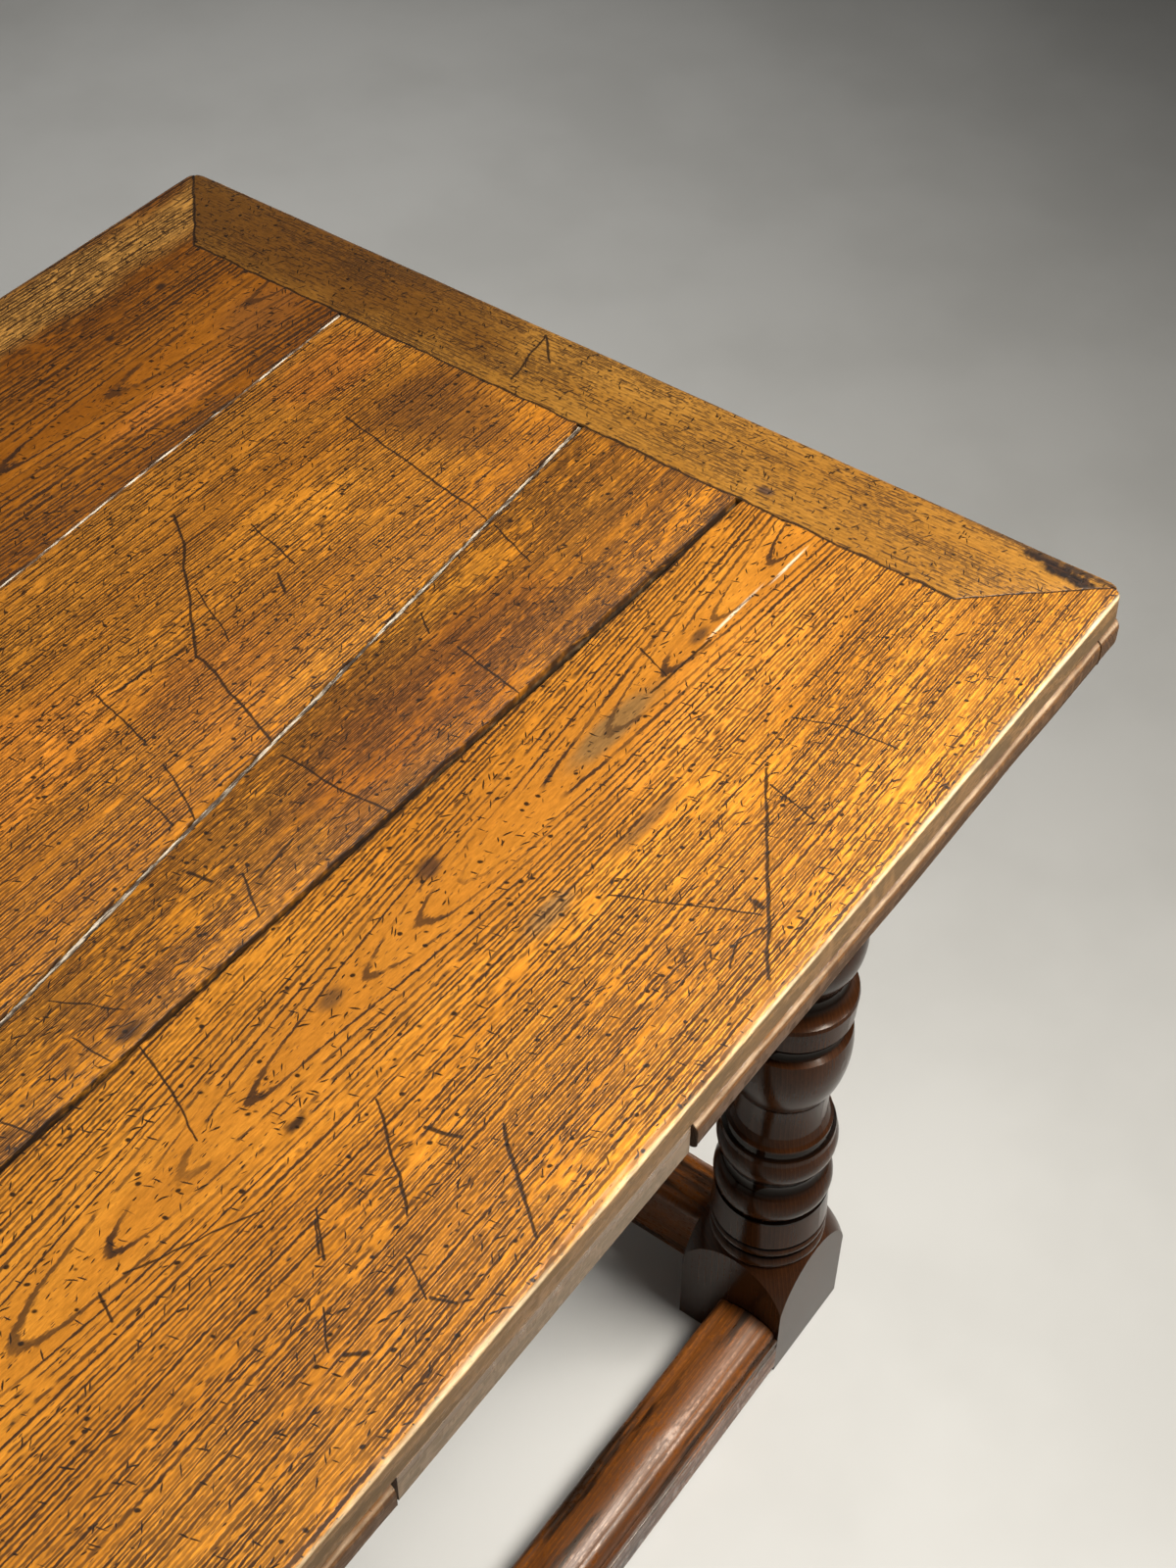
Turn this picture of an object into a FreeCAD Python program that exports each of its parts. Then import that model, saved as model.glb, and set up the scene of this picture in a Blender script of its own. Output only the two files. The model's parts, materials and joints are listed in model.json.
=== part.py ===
import FreeCAD, Part
import os
import re
import Sketcher

# Draw-leaf table: X runs along its length, Y across, Z up, floor centre at the origin.
# The far end is +X and the left side is +Y. All sizes are in millimetres.
doc = FreeCAD.newDocument("draw_leaf_table")
sheet = doc.addObject("Spreadsheet::Sheet", "Sizes")

driving = {
    # How far a cutting tool overshoots a face
    "overshoot": 1,
    # Whole table, closed
    "table_height": 770,
    "top_length": 1222,
    "top_width": 800,
    # Top
    "top_thick": 23,
    "corner_round": 7,
    "upper_round": 6,
    "lower_round": 1,
    "clamp_width": 77,
    "mitre_left": 71,
    "mitre_right": 83,
    "tongue_thick": 7,
    "tongue_length": 18,
    "tongue_clear": 0.3,
    "plank_gap": 0.6,
    "seam_left_far": 187,
    "seam_left_near": 140,
    "seam_middle_far": -26,
    "seam_middle_near": -118,
    "seam_right_far": -155,
    "seam_right_near": -136,
    "clamp_peg_radius": 3.5,
    "clamp_peg_cover": 5,
    "guide_peg_radius": 10,
    "guide_peg_gap": 15,
    "guide_peg_seat": 12,
    "guide_peg_drop": 46,
    "guide_peg_clear": 0.5,
    # Leaves
    "leaf_thick": 23,
    "leaf_side_proud": 3,
    "leaf_end_inset": 1,
    "leaf_end_gap": 1,
    "slide_gap": 0.5,
    "leaf_upper_round": 8,
    "leaf_lower_round": 5,
    "leaf_outer_clamp": 30,
    "leaf_inner_clamp": 20,
    "leaf_stile": 60,
    "leaf_tongue_length": 10,
    "leaf_seam": 130,
    # Lopers
    "loper_width": 30,
    "loper_height": 44,
    "loper_rebate": 1,
    "loper_setback": 34,
    "loper_tail_clear": 20,
    "loper_nose": 14,
    "loper_leg_clear": 14,
    "loper_spacing": 56,
    "loper_side_clear": 1,
    "stop_peg_radius": 5,
    "stop_peg_reach": 10,
    "screw_radius": 2.5,
    "screw_head_radius": 4.6,
    "screw_head_height": 3.2,
    "screw_slot": 1.2,
    "screw_bite": 13,
    "screw_clear": 0.2,
    "counterbore_radius": 5.5,
    "counterbore_depth": 14,
    # Centre board
    "centre_length": 242,
    "centre_gap": 3,
    "centre_peg_radius": 5,
    "centre_peg_depth": 30,
    "peg_clear": 0.15,
    # Legs
    "leg_stock": 96,
    "leg_from_end": 165,
    "leg_from_side": 117,
    "foot_block": 70,
    "pommel_rise": 59,
    "bead_height": 14,
    "drum_height": 36,
    "ring_height": 28,
    "cove_height": 23,
    "torus_height": 27,
    "step_height": 25,
    "bowl_height": 68,
    "bowl_groove_height": 20,
    "cup_band_height": 24,
    "cup_cove_height": 30,
    "upper_ring_height": 30,
    "upper_pommel_rise": 40,
    "head_block": 106,
    "turned_radius": 47.6,
    "quirk_radius": 43.5,
    "cove_radius": 39,
    "neck_radius": 36.5,
    "bowl_foot_radius": 38.5,
    "cup_cove_radius": 36,
    "upper_neck_radius": 33,
    "leg_lip": 1,
    "drum_taper": 1.8,
    "torus_drop": 2.5,
    "first_step_drop": 5.5,
    "second_step_drop": 8.5,
    "corner_share": 0.72,
    "pommel_swell": 0.72,
    "neck_share": 0.34,
    # Rails
    "rail_thick": 28,
    "rail_height": 96,
    "rail_inset": 6,
    "rail_quirk": 3,
    "rail_bead": 14,
    "tenon_thick": 10,
    "tenon_length": 35,
    "tenon_shoulder": 12,
    "mortise_clear": 0.3,
    "rail_peg_radius": 4,
    "rail_peg_depth": 45,
    "medial_thick": 24,
    "medial_height": 78,
    "medial_inset": 29,
    "medial_tenon": 14,
    # Stretchers
    "stretcher_width": 58,
    "stretcher_height": 60,
    "stretcher_lift": 6,
    "end_stretcher_height": 72,
    "end_stretcher_lift": 17,
    "stretcher_ovolo": 13,
    "stretcher_quirk": 3,
    "stretcher_inner_round": 8,
    "stretcher_fillet": 5,
    "stretcher_cove": 7,
    "stretcher_tenon_thick": 14,
    "stretcher_tenon_height": 36,
}
for row, (alias, size) in enumerate(driving.items(), start=1):
    sheet.set(f"A{row}", alias)
    sheet.set(f"B{row}", str(size))
    sheet.setAlias(f"B{row}", alias)
doc.recompute()

# Places worked out from the driving sizes
half_length = "(top_length / 2)"
half_width = "(top_width / 2)"
top_under = "(table_height - top_thick)"
leaf_upper = f"({top_under} - slide_gap)"
leaf_under = f"({leaf_upper} - leaf_thick)"
frame_head = f"({leaf_under} - slide_gap)"
loper_under = f"({leaf_under} - loper_height)"
leg_x = f"({half_length} - leg_from_end)"
leg_y = f"({half_width} - leg_from_side)"
half_stock = "(leg_stock / 2)"
leaf_inner_end = "(centre_length / 2 + centre_gap)"
leaf_draw = f"({half_length} + leaf_end_gap - {leaf_inner_end})"
leaf_outer_end = f"({half_length} - leaf_end_inset)"
leaf_half_width = f"({half_width} + leaf_side_proud)"
side_rail_y = f"({leg_y} + {half_stock} - rail_inset - rail_thick / 2)"
end_rail_x = f"({leg_x} + {half_stock} - rail_inset - rail_thick / 2)"
end_rail_inner = f"({end_rail_x} - rail_thick / 2)"
rail_offset = f"({half_stock} - rail_inset - rail_thick / 2)"
stretcher_offset = f"({half_stock} - stretcher_width / 2)"
side_span = f"(2 * {leg_x} - leg_stock)"
end_span = f"(2 * {leg_y} - leg_stock)"
loper_tail = f"({end_rail_inner} - loper_tail_clear)"
near_loper_place = f"({leg_y} - {half_stock} - loper_leg_clear - loper_width / 2)"
far_loper_place = f"({near_loper_place} - loper_spacing)"
loper_reach = "(loper_width / 2 + stop_peg_reach)"
guide_peg_spread = f"({far_loper_place} - {loper_reach} - guide_peg_gap - guide_peg_radius)"
medial_place = "(centre_length / 2 - medial_inset)"
tongue_under = f"({top_under} + (top_thick - tongue_thick) / 2)"
leaf_tongue_under = f"({leaf_under} + (leaf_thick - tongue_thick) / 2)"

alias_words = re.compile(r"\b(" + "|".join(sorted(driving, key=len, reverse=True)) + r")\b")


def bind(text):
    """The expression with each size named as a cell of the sheet."""
    return alias_words.sub(r"Sizes.\1", str(text))


def number(text):
    """The expression's value at the sizes in the sheet."""
    return float(sheet.evalExpression(bind(text)))


def tie(thing, **properties):
    """Bind properties of an object to expressions."""
    for name, text in properties.items():
        thing.setExpression(name, bind(text))
    return thing


def place(thing, x="0", y="0", z="0", turn=0):
    """Put an object at a bound point, turned about Z by whole degrees."""
    upright = FreeCAD.Rotation(FreeCAD.Vector(0, 0, 1), turn)
    thing.Placement = FreeCAD.Placement(FreeCAD.Vector(), upright)
    for axis, text in (("x", x), ("y", y), ("z", z)):
        thing.setExpression(f"Placement.Base.{axis}", bind(text))
    return thing


def box(name, x, y, z, length, width, height):
    """A block from its lowest corner."""
    block = doc.addObject("Part::Box", name)
    tie(block, Length=length, Width=width, Height=height)
    return place(block, x, y, z)


def rod(name, x, y, z, radius, length, axis="z"):
    """A round bar that starts at a point and runs along an axis."""
    bar = doc.addObject("Part::Cylinder", name)
    tie(bar, Radius=radius, Height=length)
    place(bar, x, y, z)
    tilt = {"x": ((0, 1, 0), 90), "y": ((1, 0, 0), -90), "z": ((0, 0, 1), 0)}[axis]
    bar.Placement.Rotation = FreeCAD.Rotation(FreeCAD.Vector(*tilt[0]), tilt[1])
    return bar


def fuse(name, pieces):
    joined = doc.addObject("Part::MultiFuse", name)
    joined.Shapes = pieces
    joined.Refine = True
    return joined


def cut(name, base, tools):
    """A base less one tool or several."""
    tool = tools[0] if len(tools) == 1 else fuse(name + "_waste", tools)
    rest = doc.addObject("Part::Cut", name)
    rest.Base = base
    rest.Tool = tool
    return rest


def common(name, base, tool):
    shared = doc.addObject("Part::Common", name)
    shared.Base = base
    shared.Tool = tool
    return shared


def group(name, pieces):
    """Separate solids that share one node."""
    bundle = doc.addObject("Part::Compound", name)
    bundle.Links = pieces
    return bundle


def rounded(name, base, radius, wanted):
    """Fillet the edges of a base that a test picks by their end points."""
    doc.recompute()
    picked = []
    for index, edge in enumerate(base.Shape.Edges, start=1):
        ends = [edge.valueAt(edge.FirstParameter), edge.valueAt(edge.LastParameter)]
        if wanted(ends[0], ends[1]):
            picked.append((index, number(radius), number(radius)))
    fillet = doc.addObject("Part::Fillet", name)
    fillet.Base = base
    fillet.Edges = picked
    return fillet


def level(height):
    """A test for edges that lie at one height."""
    z = number(height)
    return lambda a, b: abs(a.z - z) < 1e-6 and abs(b.z - z) < 1e-6


def upright_edge(a, b):
    return abs(a.x - b.x) < 1e-6 and abs(a.y - b.y) < 1e-6


def outline(sketch, start, steps):
    """Draw a closed outline whose corners are bound to expressions.

    A step is (x, y) for a straight run, or (through_x, through_y, x, y) for an arc.
    """
    corners = [start] + [step[-2:] for step in steps]
    links = []
    for index, step in enumerate(steps):
        begin = FreeCAD.Vector(*[number(text) for text in corners[index]])
        end = FreeCAD.Vector(*[number(text) for text in corners[index + 1]])
        if len(step) == 2:
            run = sketch.addGeometry(Part.LineSegment(begin, end))
        else:
            through = FreeCAD.Vector(number(step[0]), number(step[1]))
            run = sketch.addGeometry(Part.Arc(begin, through, end))
            mark = sketch.addGeometry(Part.Point(through), True)
            fix_point(sketch, mark, 1, step[:2])
            sketch.addConstraint(Sketcher.Constraint("PointOnObject", mark, 1, run))
        first, last = (1, 2) if (sketch.getPoint(run, 1) - begin).Length < 1e-5 else (2, 1)
        links.append((run, first, last))
        fix_point(sketch, run, first, corners[index])
    for here, after in zip(links, links[1:] + links[:1]):
        sketch.addConstraint(Sketcher.Constraint("Coincident", here[0], here[2], after[0], after[1]))


def fix_point(sketch, geometry, position, texts):
    """Bind one point of a sketch to a pair of expressions."""
    for kind, axis, text in (("DistanceX", -2, texts[0]), ("DistanceY", -1, texts[1])):
        if text == "0":
            sketch.addConstraint(Sketcher.Constraint("PointOnObject", geometry, position, axis))
            continue
        size = sketch.addConstraint(Sketcher.Constraint(kind, -1, 1, geometry, position, number(text)))
        sketch.setExpression(f"Constraints[{size}]", bind(text))


def sketch_on(body, plane, name):
    """A sketch on one of the body's own origin planes."""
    sketch = body.newObject("Sketcher::SketchObject", name)
    support = [item for item in body.Origin.OriginFeatures if item.Role == plane][0]
    sketch.AttachmentSupport = [(support, "")]
    sketch.MapMode = "FlatFace"
    doc.recompute()
    return sketch


def padded(name, plane, start, steps, length):
    """A body padded from a closed outline."""
    body = doc.addObject("PartDesign::Body", name)
    sketch = sketch_on(body, plane, name + "_outline")
    outline(sketch, start, steps)
    pad = body.newObject("PartDesign::Pad", name + "_pad")
    pad.Profile = sketch
    tie(pad, Length=length)
    return body


subparts = []


def keep(thing, label):
    """Name a finished sub-part."""
    thing.Label = label
    subparts.append(thing)
    return thing


# Top: one rounded slab, parted by its seams into clamps and planks
def make_top():
    blank = box("top_blank", f"-{half_length}", f"-{half_width}", top_under,
                "top_length", "top_width", "top_thick")
    slab = rounded("top_corners", blank, "corner_round", upright_edge)
    slab = rounded("top_upper_edge", slab, "upper_round", level("table_height"))
    slab = rounded("top_slab", slab, "lower_round", level(top_under))

    clamp_inner = f"({half_length} - clamp_width)"
    foot_left = f"({half_width} - mitre_left)"
    foot_right = f"({half_width} - mitre_right)"
    prisms = []
    for end, sign in (("far", ""), ("near", "-")):
        corner_x = f"{sign}({half_length} + clamp_width)"
        start = (f"{sign}{clamp_inner}", f"-{foot_right}")
        prism = padded(
            f"clamp_prism_{end}", "XY_Plane", start,
            [(corner_x, f"-({half_width} + mitre_right)"), (corner_x, f"({half_width} + mitre_left)"),
             (f"{sign}{clamp_inner}", foot_left), start],
            "table_height * 2")
        prisms.append(prism)
    reach = f"({clamp_inner} + tongue_length)"
    tongue_right = f"(tongue_thick - {foot_right})"
    tongue_wide = f"({foot_left} + {foot_right} - 2 * tongue_thick)"
    tongues = box("top_tongues", f"-{reach}", tongue_right, tongue_under,
                  f"2 * {reach}", tongue_wide, "tongue_thick")
    groove = box("top_groove", f"-({reach} + tongue_clear)", f"{tongue_right} - tongue_clear",
                 f"{tongue_under} - tongue_clear", f"2 * ({reach} + tongue_clear)",
                 f"{tongue_wide} + 2 * tongue_clear", "tongue_thick + 2 * tongue_clear")

    # Pegs that pin each clamp to the tongues, driven from below
    pegs = []
    holes = []
    peg_x = f"({clamp_inner} + tongue_length / 2)"
    peg_length = "(top_thick - clamp_peg_cover)"
    for end, sign in (("far", ""), ("near", "-")):
        seams = [foot_left, f"seam_left_{end}", f"seam_middle_{end}", f"seam_right_{end}",
                 f"-{foot_right}"]
        for mark, upper, lower in zip("abcd", seams, seams[1:]):
            peg_y = f"({upper} + {lower}) / 2"
            pegs.append(rod(f"clamp_peg_{end}_{mark}", f"{sign}{peg_x}", peg_y, top_under,
                            "clamp_peg_radius", peg_length))
            holes.append(rod(f"clamp_peg_hole_{end}_{mark}", f"{sign}{peg_x}", peg_y,
                             f"{top_under} - overshoot",
                             "clamp_peg_radius + peg_clear", f"{peg_length} + overshoot + peg_clear"))
    peg_holes = fuse("clamp_peg_holes", holes)

    for end, prism in zip(("far", "near"), prisms):
        clamp = common(f"clamp_{end}_solid", slab, prism)
        keep(cut(f"clamp_{end}", clamp, [groove, peg_holes]), f"top_clamp_{end}")

    sockets = []
    guide_pegs = []
    for side, sign in (("left", ""), ("right", "-")):
        spot = ("0", f"{sign}{guide_peg_spread}")
        sockets.append(rod(f"guide_socket_{side}", *spot, f"{top_under} - overshoot",
                           "guide_peg_radius + peg_clear",
                           "guide_peg_seat + overshoot + peg_clear"))
        guide_pegs.append(rod(f"guide_peg_{side}", *spot, f"{top_under} - guide_peg_drop",
                              "guide_peg_radius",
                              "guide_peg_drop + guide_peg_seat"))
    field = cut("top_field", slab, prisms)
    field = fuse("top_field_tongues", [field, tongues])
    field = cut("top_field_bored", field, sockets + [peg_holes])

    past = f"({half_length} + clamp_width)"
    outside = (f"{half_width} * 2", f"{half_width} * 2")
    seams = [outside, ("seam_left_far", "seam_left_near"), ("seam_middle_far", "seam_middle_near"),
             ("seam_right_far", "seam_right_near"), tuple(f"-{text}" for text in outside)]
    for plank, upper, lower in zip(("left", "middle", "wedge", "right"), seams, seams[1:]):
        upper_far, upper_near = [f"{text} - plank_gap / 2" for text in upper]
        lower_far, lower_near = [f"{text} + plank_gap / 2" for text in lower]
        strip = padded(
            f"strip_{plank}", "XY_Plane", (past, lower_far),
            [(past, upper_far), (clamp_inner, upper_far),
             (f"-{clamp_inner}", upper_near), (f"-{past}", upper_near),
             (f"-{past}", lower_near), (f"-{clamp_inner}", lower_near),
             (clamp_inner, lower_far), (past, lower_far)],
            "table_height * 2")
        keep(common(f"plank_{plank}", field, strip), f"top_plank_{plank}")
    keep(group("guide_pegs", guide_pegs), "top_guide_pegs")
    keep(group("clamp_pegs", pegs), "top_clamp_pegs")


# Leaves: planks with a clamp at each end, on two lopers, drawn at the far end and turned for the near one
def make_leaf(end, turn, loper_place):
    seen_side = {"left": "left", "middle": "middle", "right": "right"}
    if turn == 180:
        seen_side = {"left": "right", "middle": "middle", "right": "left"}
    field_start = f"({leaf_inner_end} + leaf_inner_clamp)"
    field_stop = f"({leaf_outer_end} - leaf_outer_clamp)"
    blank = box(f"{end}_leaf_blank", leaf_inner_end, f"-{leaf_half_width}", leaf_under,
                f"{field_stop} - {leaf_inner_end}", f"2 * {leaf_half_width}", "leaf_thick")

    def side_edge(height):
        at_height = level(height)
        return lambda a, b: at_height(a, b) and abs(a.y - b.y) < 1e-6

    slab = rounded(f"{end}_leaf_upper_edge", blank, "leaf_upper_round", side_edge(leaf_upper))
    slab = rounded(f"{end}_leaf_slab", slab, "leaf_lower_round", side_edge(leaf_under))
    stile_inner = f"({leaf_half_width} - leaf_stile)"
    recess = box(f"{end}_leaf_recess", f"{leaf_inner_end} - overshoot", f"-{stile_inner}",
                 f"{leaf_under} - overshoot", "leaf_inner_clamp + overshoot", f"2 * {stile_inner}",
                 "leaf_thick + 2 * overshoot")
    slab = cut(f"{end}_leaf_recessed", slab, [recess])
    tongue_half = f"({stile_inner} - leaf_outer_clamp)"
    tongue = box(f"{end}_leaf_tongue", f"{field_start} - leaf_tongue_length", f"-{tongue_half}",
                 leaf_tongue_under,
                 f"{field_stop} - {field_start} + 2 * leaf_tongue_length", f"2 * {tongue_half}",
                 "tongue_thick")
    groove = box(f"{end}_leaf_groove", f"{field_start} - leaf_tongue_length - tongue_clear",
                 f"-({tongue_half} + tongue_clear)", f"{leaf_tongue_under} - tongue_clear",
                 f"{field_stop} - {field_start} + 2 * (leaf_tongue_length + tongue_clear)",
                 f"2 * ({tongue_half} + tongue_clear)", "tongue_thick + 2 * tongue_clear")

    outer = box(f"{end}_outer_bar", field_stop, f"-{leaf_half_width}", leaf_under, "leaf_outer_clamp",
                f"2 * {leaf_half_width}", "leaf_thick")
    outer = rounded(f"{end}_outer_ends", outer, "leaf_upper_round", outer_corner)
    outer = rounded(f"{end}_outer_upper", outer, "leaf_upper_round", outer_rim(leaf_upper))
    outer = rounded(f"{end}_outer_lower", outer, "leaf_lower_round", outer_rim(leaf_under))
    inner = box(f"{end}_inner_bar", leaf_inner_end, f"-{stile_inner}", leaf_under, "leaf_inner_clamp",
                f"2 * {stile_inner}", "leaf_thick")
    for clamp, bar in (("outer", outer), ("inner", inner)):
        solid = cut(f"{end}_{clamp}_clamp", bar, [groove])
        keep(place(solid, turn=turn), f"leaf_{end}_{clamp}_clamp")

    # Lopers with screw holes, a rebated tail and a peg that stops the draw at the end rail
    tail_start = f"-{loper_tail}"
    nose = f"({leaf_outer_end} - loper_setback)"
    rebate_end = f"({leaf_inner_end} - loper_rebate)"
    stop_x = f"({end_rail_inner} - {leaf_draw} - stop_peg_radius - slide_gap)"
    stop_z = f"({loper_under} + loper_height / 2)"
    shank_start = f"({loper_under} + counterbore_depth)"
    shank_length = "(loper_height - counterbore_depth + screw_bite)"
    screws = []
    pilots = []
    stops = []
    screw_first = f"({leaf_inner_end} + 2 * leaf_inner_clamp)"
    screw_last = f"({nose} - 2 * leaf_inner_clamp)"
    for side, sign in (("left", ""), ("right", "-")):
        middle = f"({sign}{loper_place})"
        beam = box(f"{end}_{side}_beam", tail_start, f"{middle} - loper_width / 2", loper_under,
                   f"{nose} + {loper_tail}", "loper_width", "loper_height")
        beam = rounded(f"{end}_{side}_nose", beam, "loper_nose", nose_edge(nose))
        waste = [box(f"{end}_{side}_rebate", f"{tail_start} - overshoot", f"{middle} - loper_width",
                     f"{leaf_under} - loper_rebate", f"{rebate_end} + {loper_tail} + overshoot",
                     "2 * loper_width", "2 * loper_rebate")]
        for index in range(4):
            spot_x = f"({screw_first} + ({screw_last} - {screw_first}) * {index} / 3)"
            tag = f"{end}_{side}_{index}"
            shank = rod(f"shank_{tag}", spot_x, middle, shank_start, "screw_radius", shank_length)
            head = rod(f"head_{tag}", spot_x, middle, f"{shank_start} - screw_head_height",
                       "screw_head_radius",
                       "screw_head_height")
            slot = box(f"slot_{tag}", f"{spot_x} - screw_head_radius", f"{middle} - screw_slot / 2",
                       f"{shank_start} - screw_head_height - overshoot", "2 * screw_head_radius",
                       "screw_slot",
                       "overshoot + screw_head_height / 2")
            screws.append(cut(f"screw_{tag}", fuse(f"screw_blank_{tag}", [shank, head]), [slot]))
            pilot = rod(f"pilot_{tag}", spot_x, middle, f"{shank_start} - overshoot",
                        "screw_radius + screw_clear",
                        f"{shank_length} + overshoot + screw_clear")
            pilots.append(pilot)
            waste.append(pilot)
            waste.append(rod(f"counterbore_{tag}", spot_x, middle, f"{loper_under} - overshoot",
                             "counterbore_radius",
                             "counterbore_depth + overshoot"))
        inward = f"({sign}1)"
        stop_start = f"({middle} - {inward} * {loper_reach})"
        stop_length = "(loper_width + stop_peg_reach)"
        stop_from = stop_start if sign == "" else f"({stop_start} - {stop_length})"
        stops.append(rod(f"stop_{end}_{side}", stop_x, stop_from, stop_z, "stop_peg_radius",
                         stop_length, "y"))
        waste.append(rod(f"stop_hole_{end}_{side}", stop_x, f"{middle} - loper_width", stop_z,
                         "stop_peg_radius + peg_clear", "2 * loper_width", "y"))
        loper = cut(f"{end}_{side}_loper", beam, waste)
        keep(place(loper, turn=turn), f"leaf_{end}_loper_{seen_side[side]}")

    field = fuse(f"{end}_leaf_field", [slab, tongue])
    field = cut(f"{end}_leaf_bored", field, pilots)
    bands = {"left": ("leaf_seam", f"2 * {half_width}"), "middle": ("-leaf_seam", "leaf_seam"),
             "right": (f"-2 * {half_width}", "-leaf_seam")}
    for plank, (low, high) in bands.items():
        band = box(f"{end}_band_{plank}", "0", f"{low} + plank_gap / 2", "0", "top_length",
                   f"({high}) - ({low}) - plank_gap", "2 * table_height")
        solid = common(f"{end}_leaf_{plank}", field, band)
        keep(place(solid, turn=turn), f"leaf_{end}_plank_{seen_side[plank]}")
    keep(place(group(f"{end}_screws", screws), turn=turn), f"leaf_{end}_loper_screws")
    keep(place(group(f"{end}_stops", stops), turn=turn), f"leaf_{end}_stop_pegs")


def outer_corner(a, b):
    """The upright edges on the outer clamp's outward face."""
    return upright_edge(a, b) and abs(a.x - number(leaf_outer_end)) < 1e-6


def outer_rim(height):
    """The outer clamp's edges at one height, without the one against the planks."""
    at_height = level(height)
    seam_x = number(f"{leaf_outer_end} - leaf_outer_clamp")
    return lambda a, b: at_height(a, b) and not (abs(a.x - seam_x) < 1e-6 and abs(b.x - seam_x) < 1e-6)


def nose_edge(nose):
    """The lower edge across a loper's outer end."""
    nose_x = number(nose)
    at_height = level(loper_under)
    return lambda a, b: at_height(a, b) and abs(a.x - nose_x) < 1e-6 and abs(b.x - nose_x) < 1e-6


# Legs: square stock turned between a foot block and a head block
def leg_profile():
    """Corners of the turned-away region, from the foot up, as radius and height."""
    wide = "(leg_stock * corner_share)"
    full = "turned_radius"
    lower_turning = "(pommel_rise + 2 * bead_height + drum_height + ring_height + cove_height)"
    middle_turning = "(torus_height + step_height + bowl_height + bowl_groove_height)"
    upper_turning = "(cup_band_height + cup_cove_height + upper_ring_height + upper_pommel_rise)"
    turning = f"({lower_turning} + {middle_turning} + {upper_turning})"
    rest = f"({frame_head} - foot_block - head_block - {turning})"
    heights = ["foot_block"]

    def climb(rise):
        heights.append(f"({heights[-1]} + {rise})")
        return heights[-2], heights[-1]

    def share(pair, part):
        return f"({pair[0]} + ({pair[1]} - {pair[0]}) * {part})"

    steps = []
    low = climb("pommel_rise")
    swell = f"({full} + ({wide} - {full}) * pommel_swell)"
    steps.append((swell, share(low, 0.55), f"({full} - leg_lip)", low[1]))
    for bead in (climb("bead_height"), climb("bead_height")):
        steps.append((full, share(bead, 0.5), "quirk_radius", bead[1]))
    drum = climb("drum_height")
    steps.append((f"({full} - leg_lip / 2)", share(drum, 0.03)))
    steps.append((f"({full} - drum_taper)", share(drum, 0.96)))
    steps.append(("quirk_radius", drum[1]))
    ring = climb("ring_height")
    steps.append((full, share(ring, 0.5), "quirk_radius", ring[1]))
    cove = climb("cove_height")
    steps.append(("cove_radius", share(cove, 0.5), "quirk_radius", cove[1]))
    torus = climb("torus_height")
    steps.append((full, share(torus, 0.5), f"({full} - torus_drop)", torus[1]))
    step = climb("step_height")
    steps.append((f"({full} - torus_drop - leg_lip / 2)", share(step, 0.2)))
    steps.append((f"({full} - first_step_drop)", share(step, 0.3)))
    steps.append((f"({full} - first_step_drop - leg_lip / 2)", share(step, 0.6)))
    steps.append((f"({full} - second_step_drop)", share(step, 0.7)))
    steps.append(("neck_radius", step[1]))
    neck = climb(f"{rest} * neck_share")
    steps.append(("(neck_radius - leg_lip / 3)", share(neck, 0.5), "(bowl_foot_radius - leg_lip)",
                  neck[1]))
    steps.append(("bowl_foot_radius", neck[1]))
    bowl = climb("bowl_height")
    steps.append((f"({full} - leg_lip)", share(bowl, 0.42), f"({full} - leg_lip)", bowl[1]))
    groove = climb("bowl_groove_height")
    steps.append(("(quirk_radius - leg_lip)", share(groove, 0.12)))
    steps.append(("(quirk_radius - torus_drop)", share(groove, 0.5), "quirk_radius", share(groove, 0.9)))
    steps.append((f"({full} - leg_lip)", groove[1]))
    band = climb("cup_band_height")
    steps.append((full, share(band, 0.86)))
    steps.append((f"({full} - leg_lip)", band[1]))
    hollow = climb("cup_cove_height")
    steps.append(("cup_cove_radius", share(hollow, 0.45), "(quirk_radius - drum_taper)", hollow[1]))
    bulb = climb(f"{rest} * (1 - neck_share)")
    steps.append((full, share(bulb, 0.5), "upper_neck_radius", bulb[1]))
    upper = climb("upper_ring_height")
    steps.append(("upper_neck_radius", share(upper, 0.3)))
    steps.append((f"({full} - torus_drop)", share(upper, 0.65), "upper_neck_radius + drum_taper",
                  upper[1]))
    top = climb("upper_pommel_rise")
    steps.append((f"({full} - drum_taper)", upper[1]))
    steps.append((swell, share(top, 0.45), wide, top[1]))
    steps.append((wide, "foot_block"))
    return (wide, "foot_block"), steps


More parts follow.
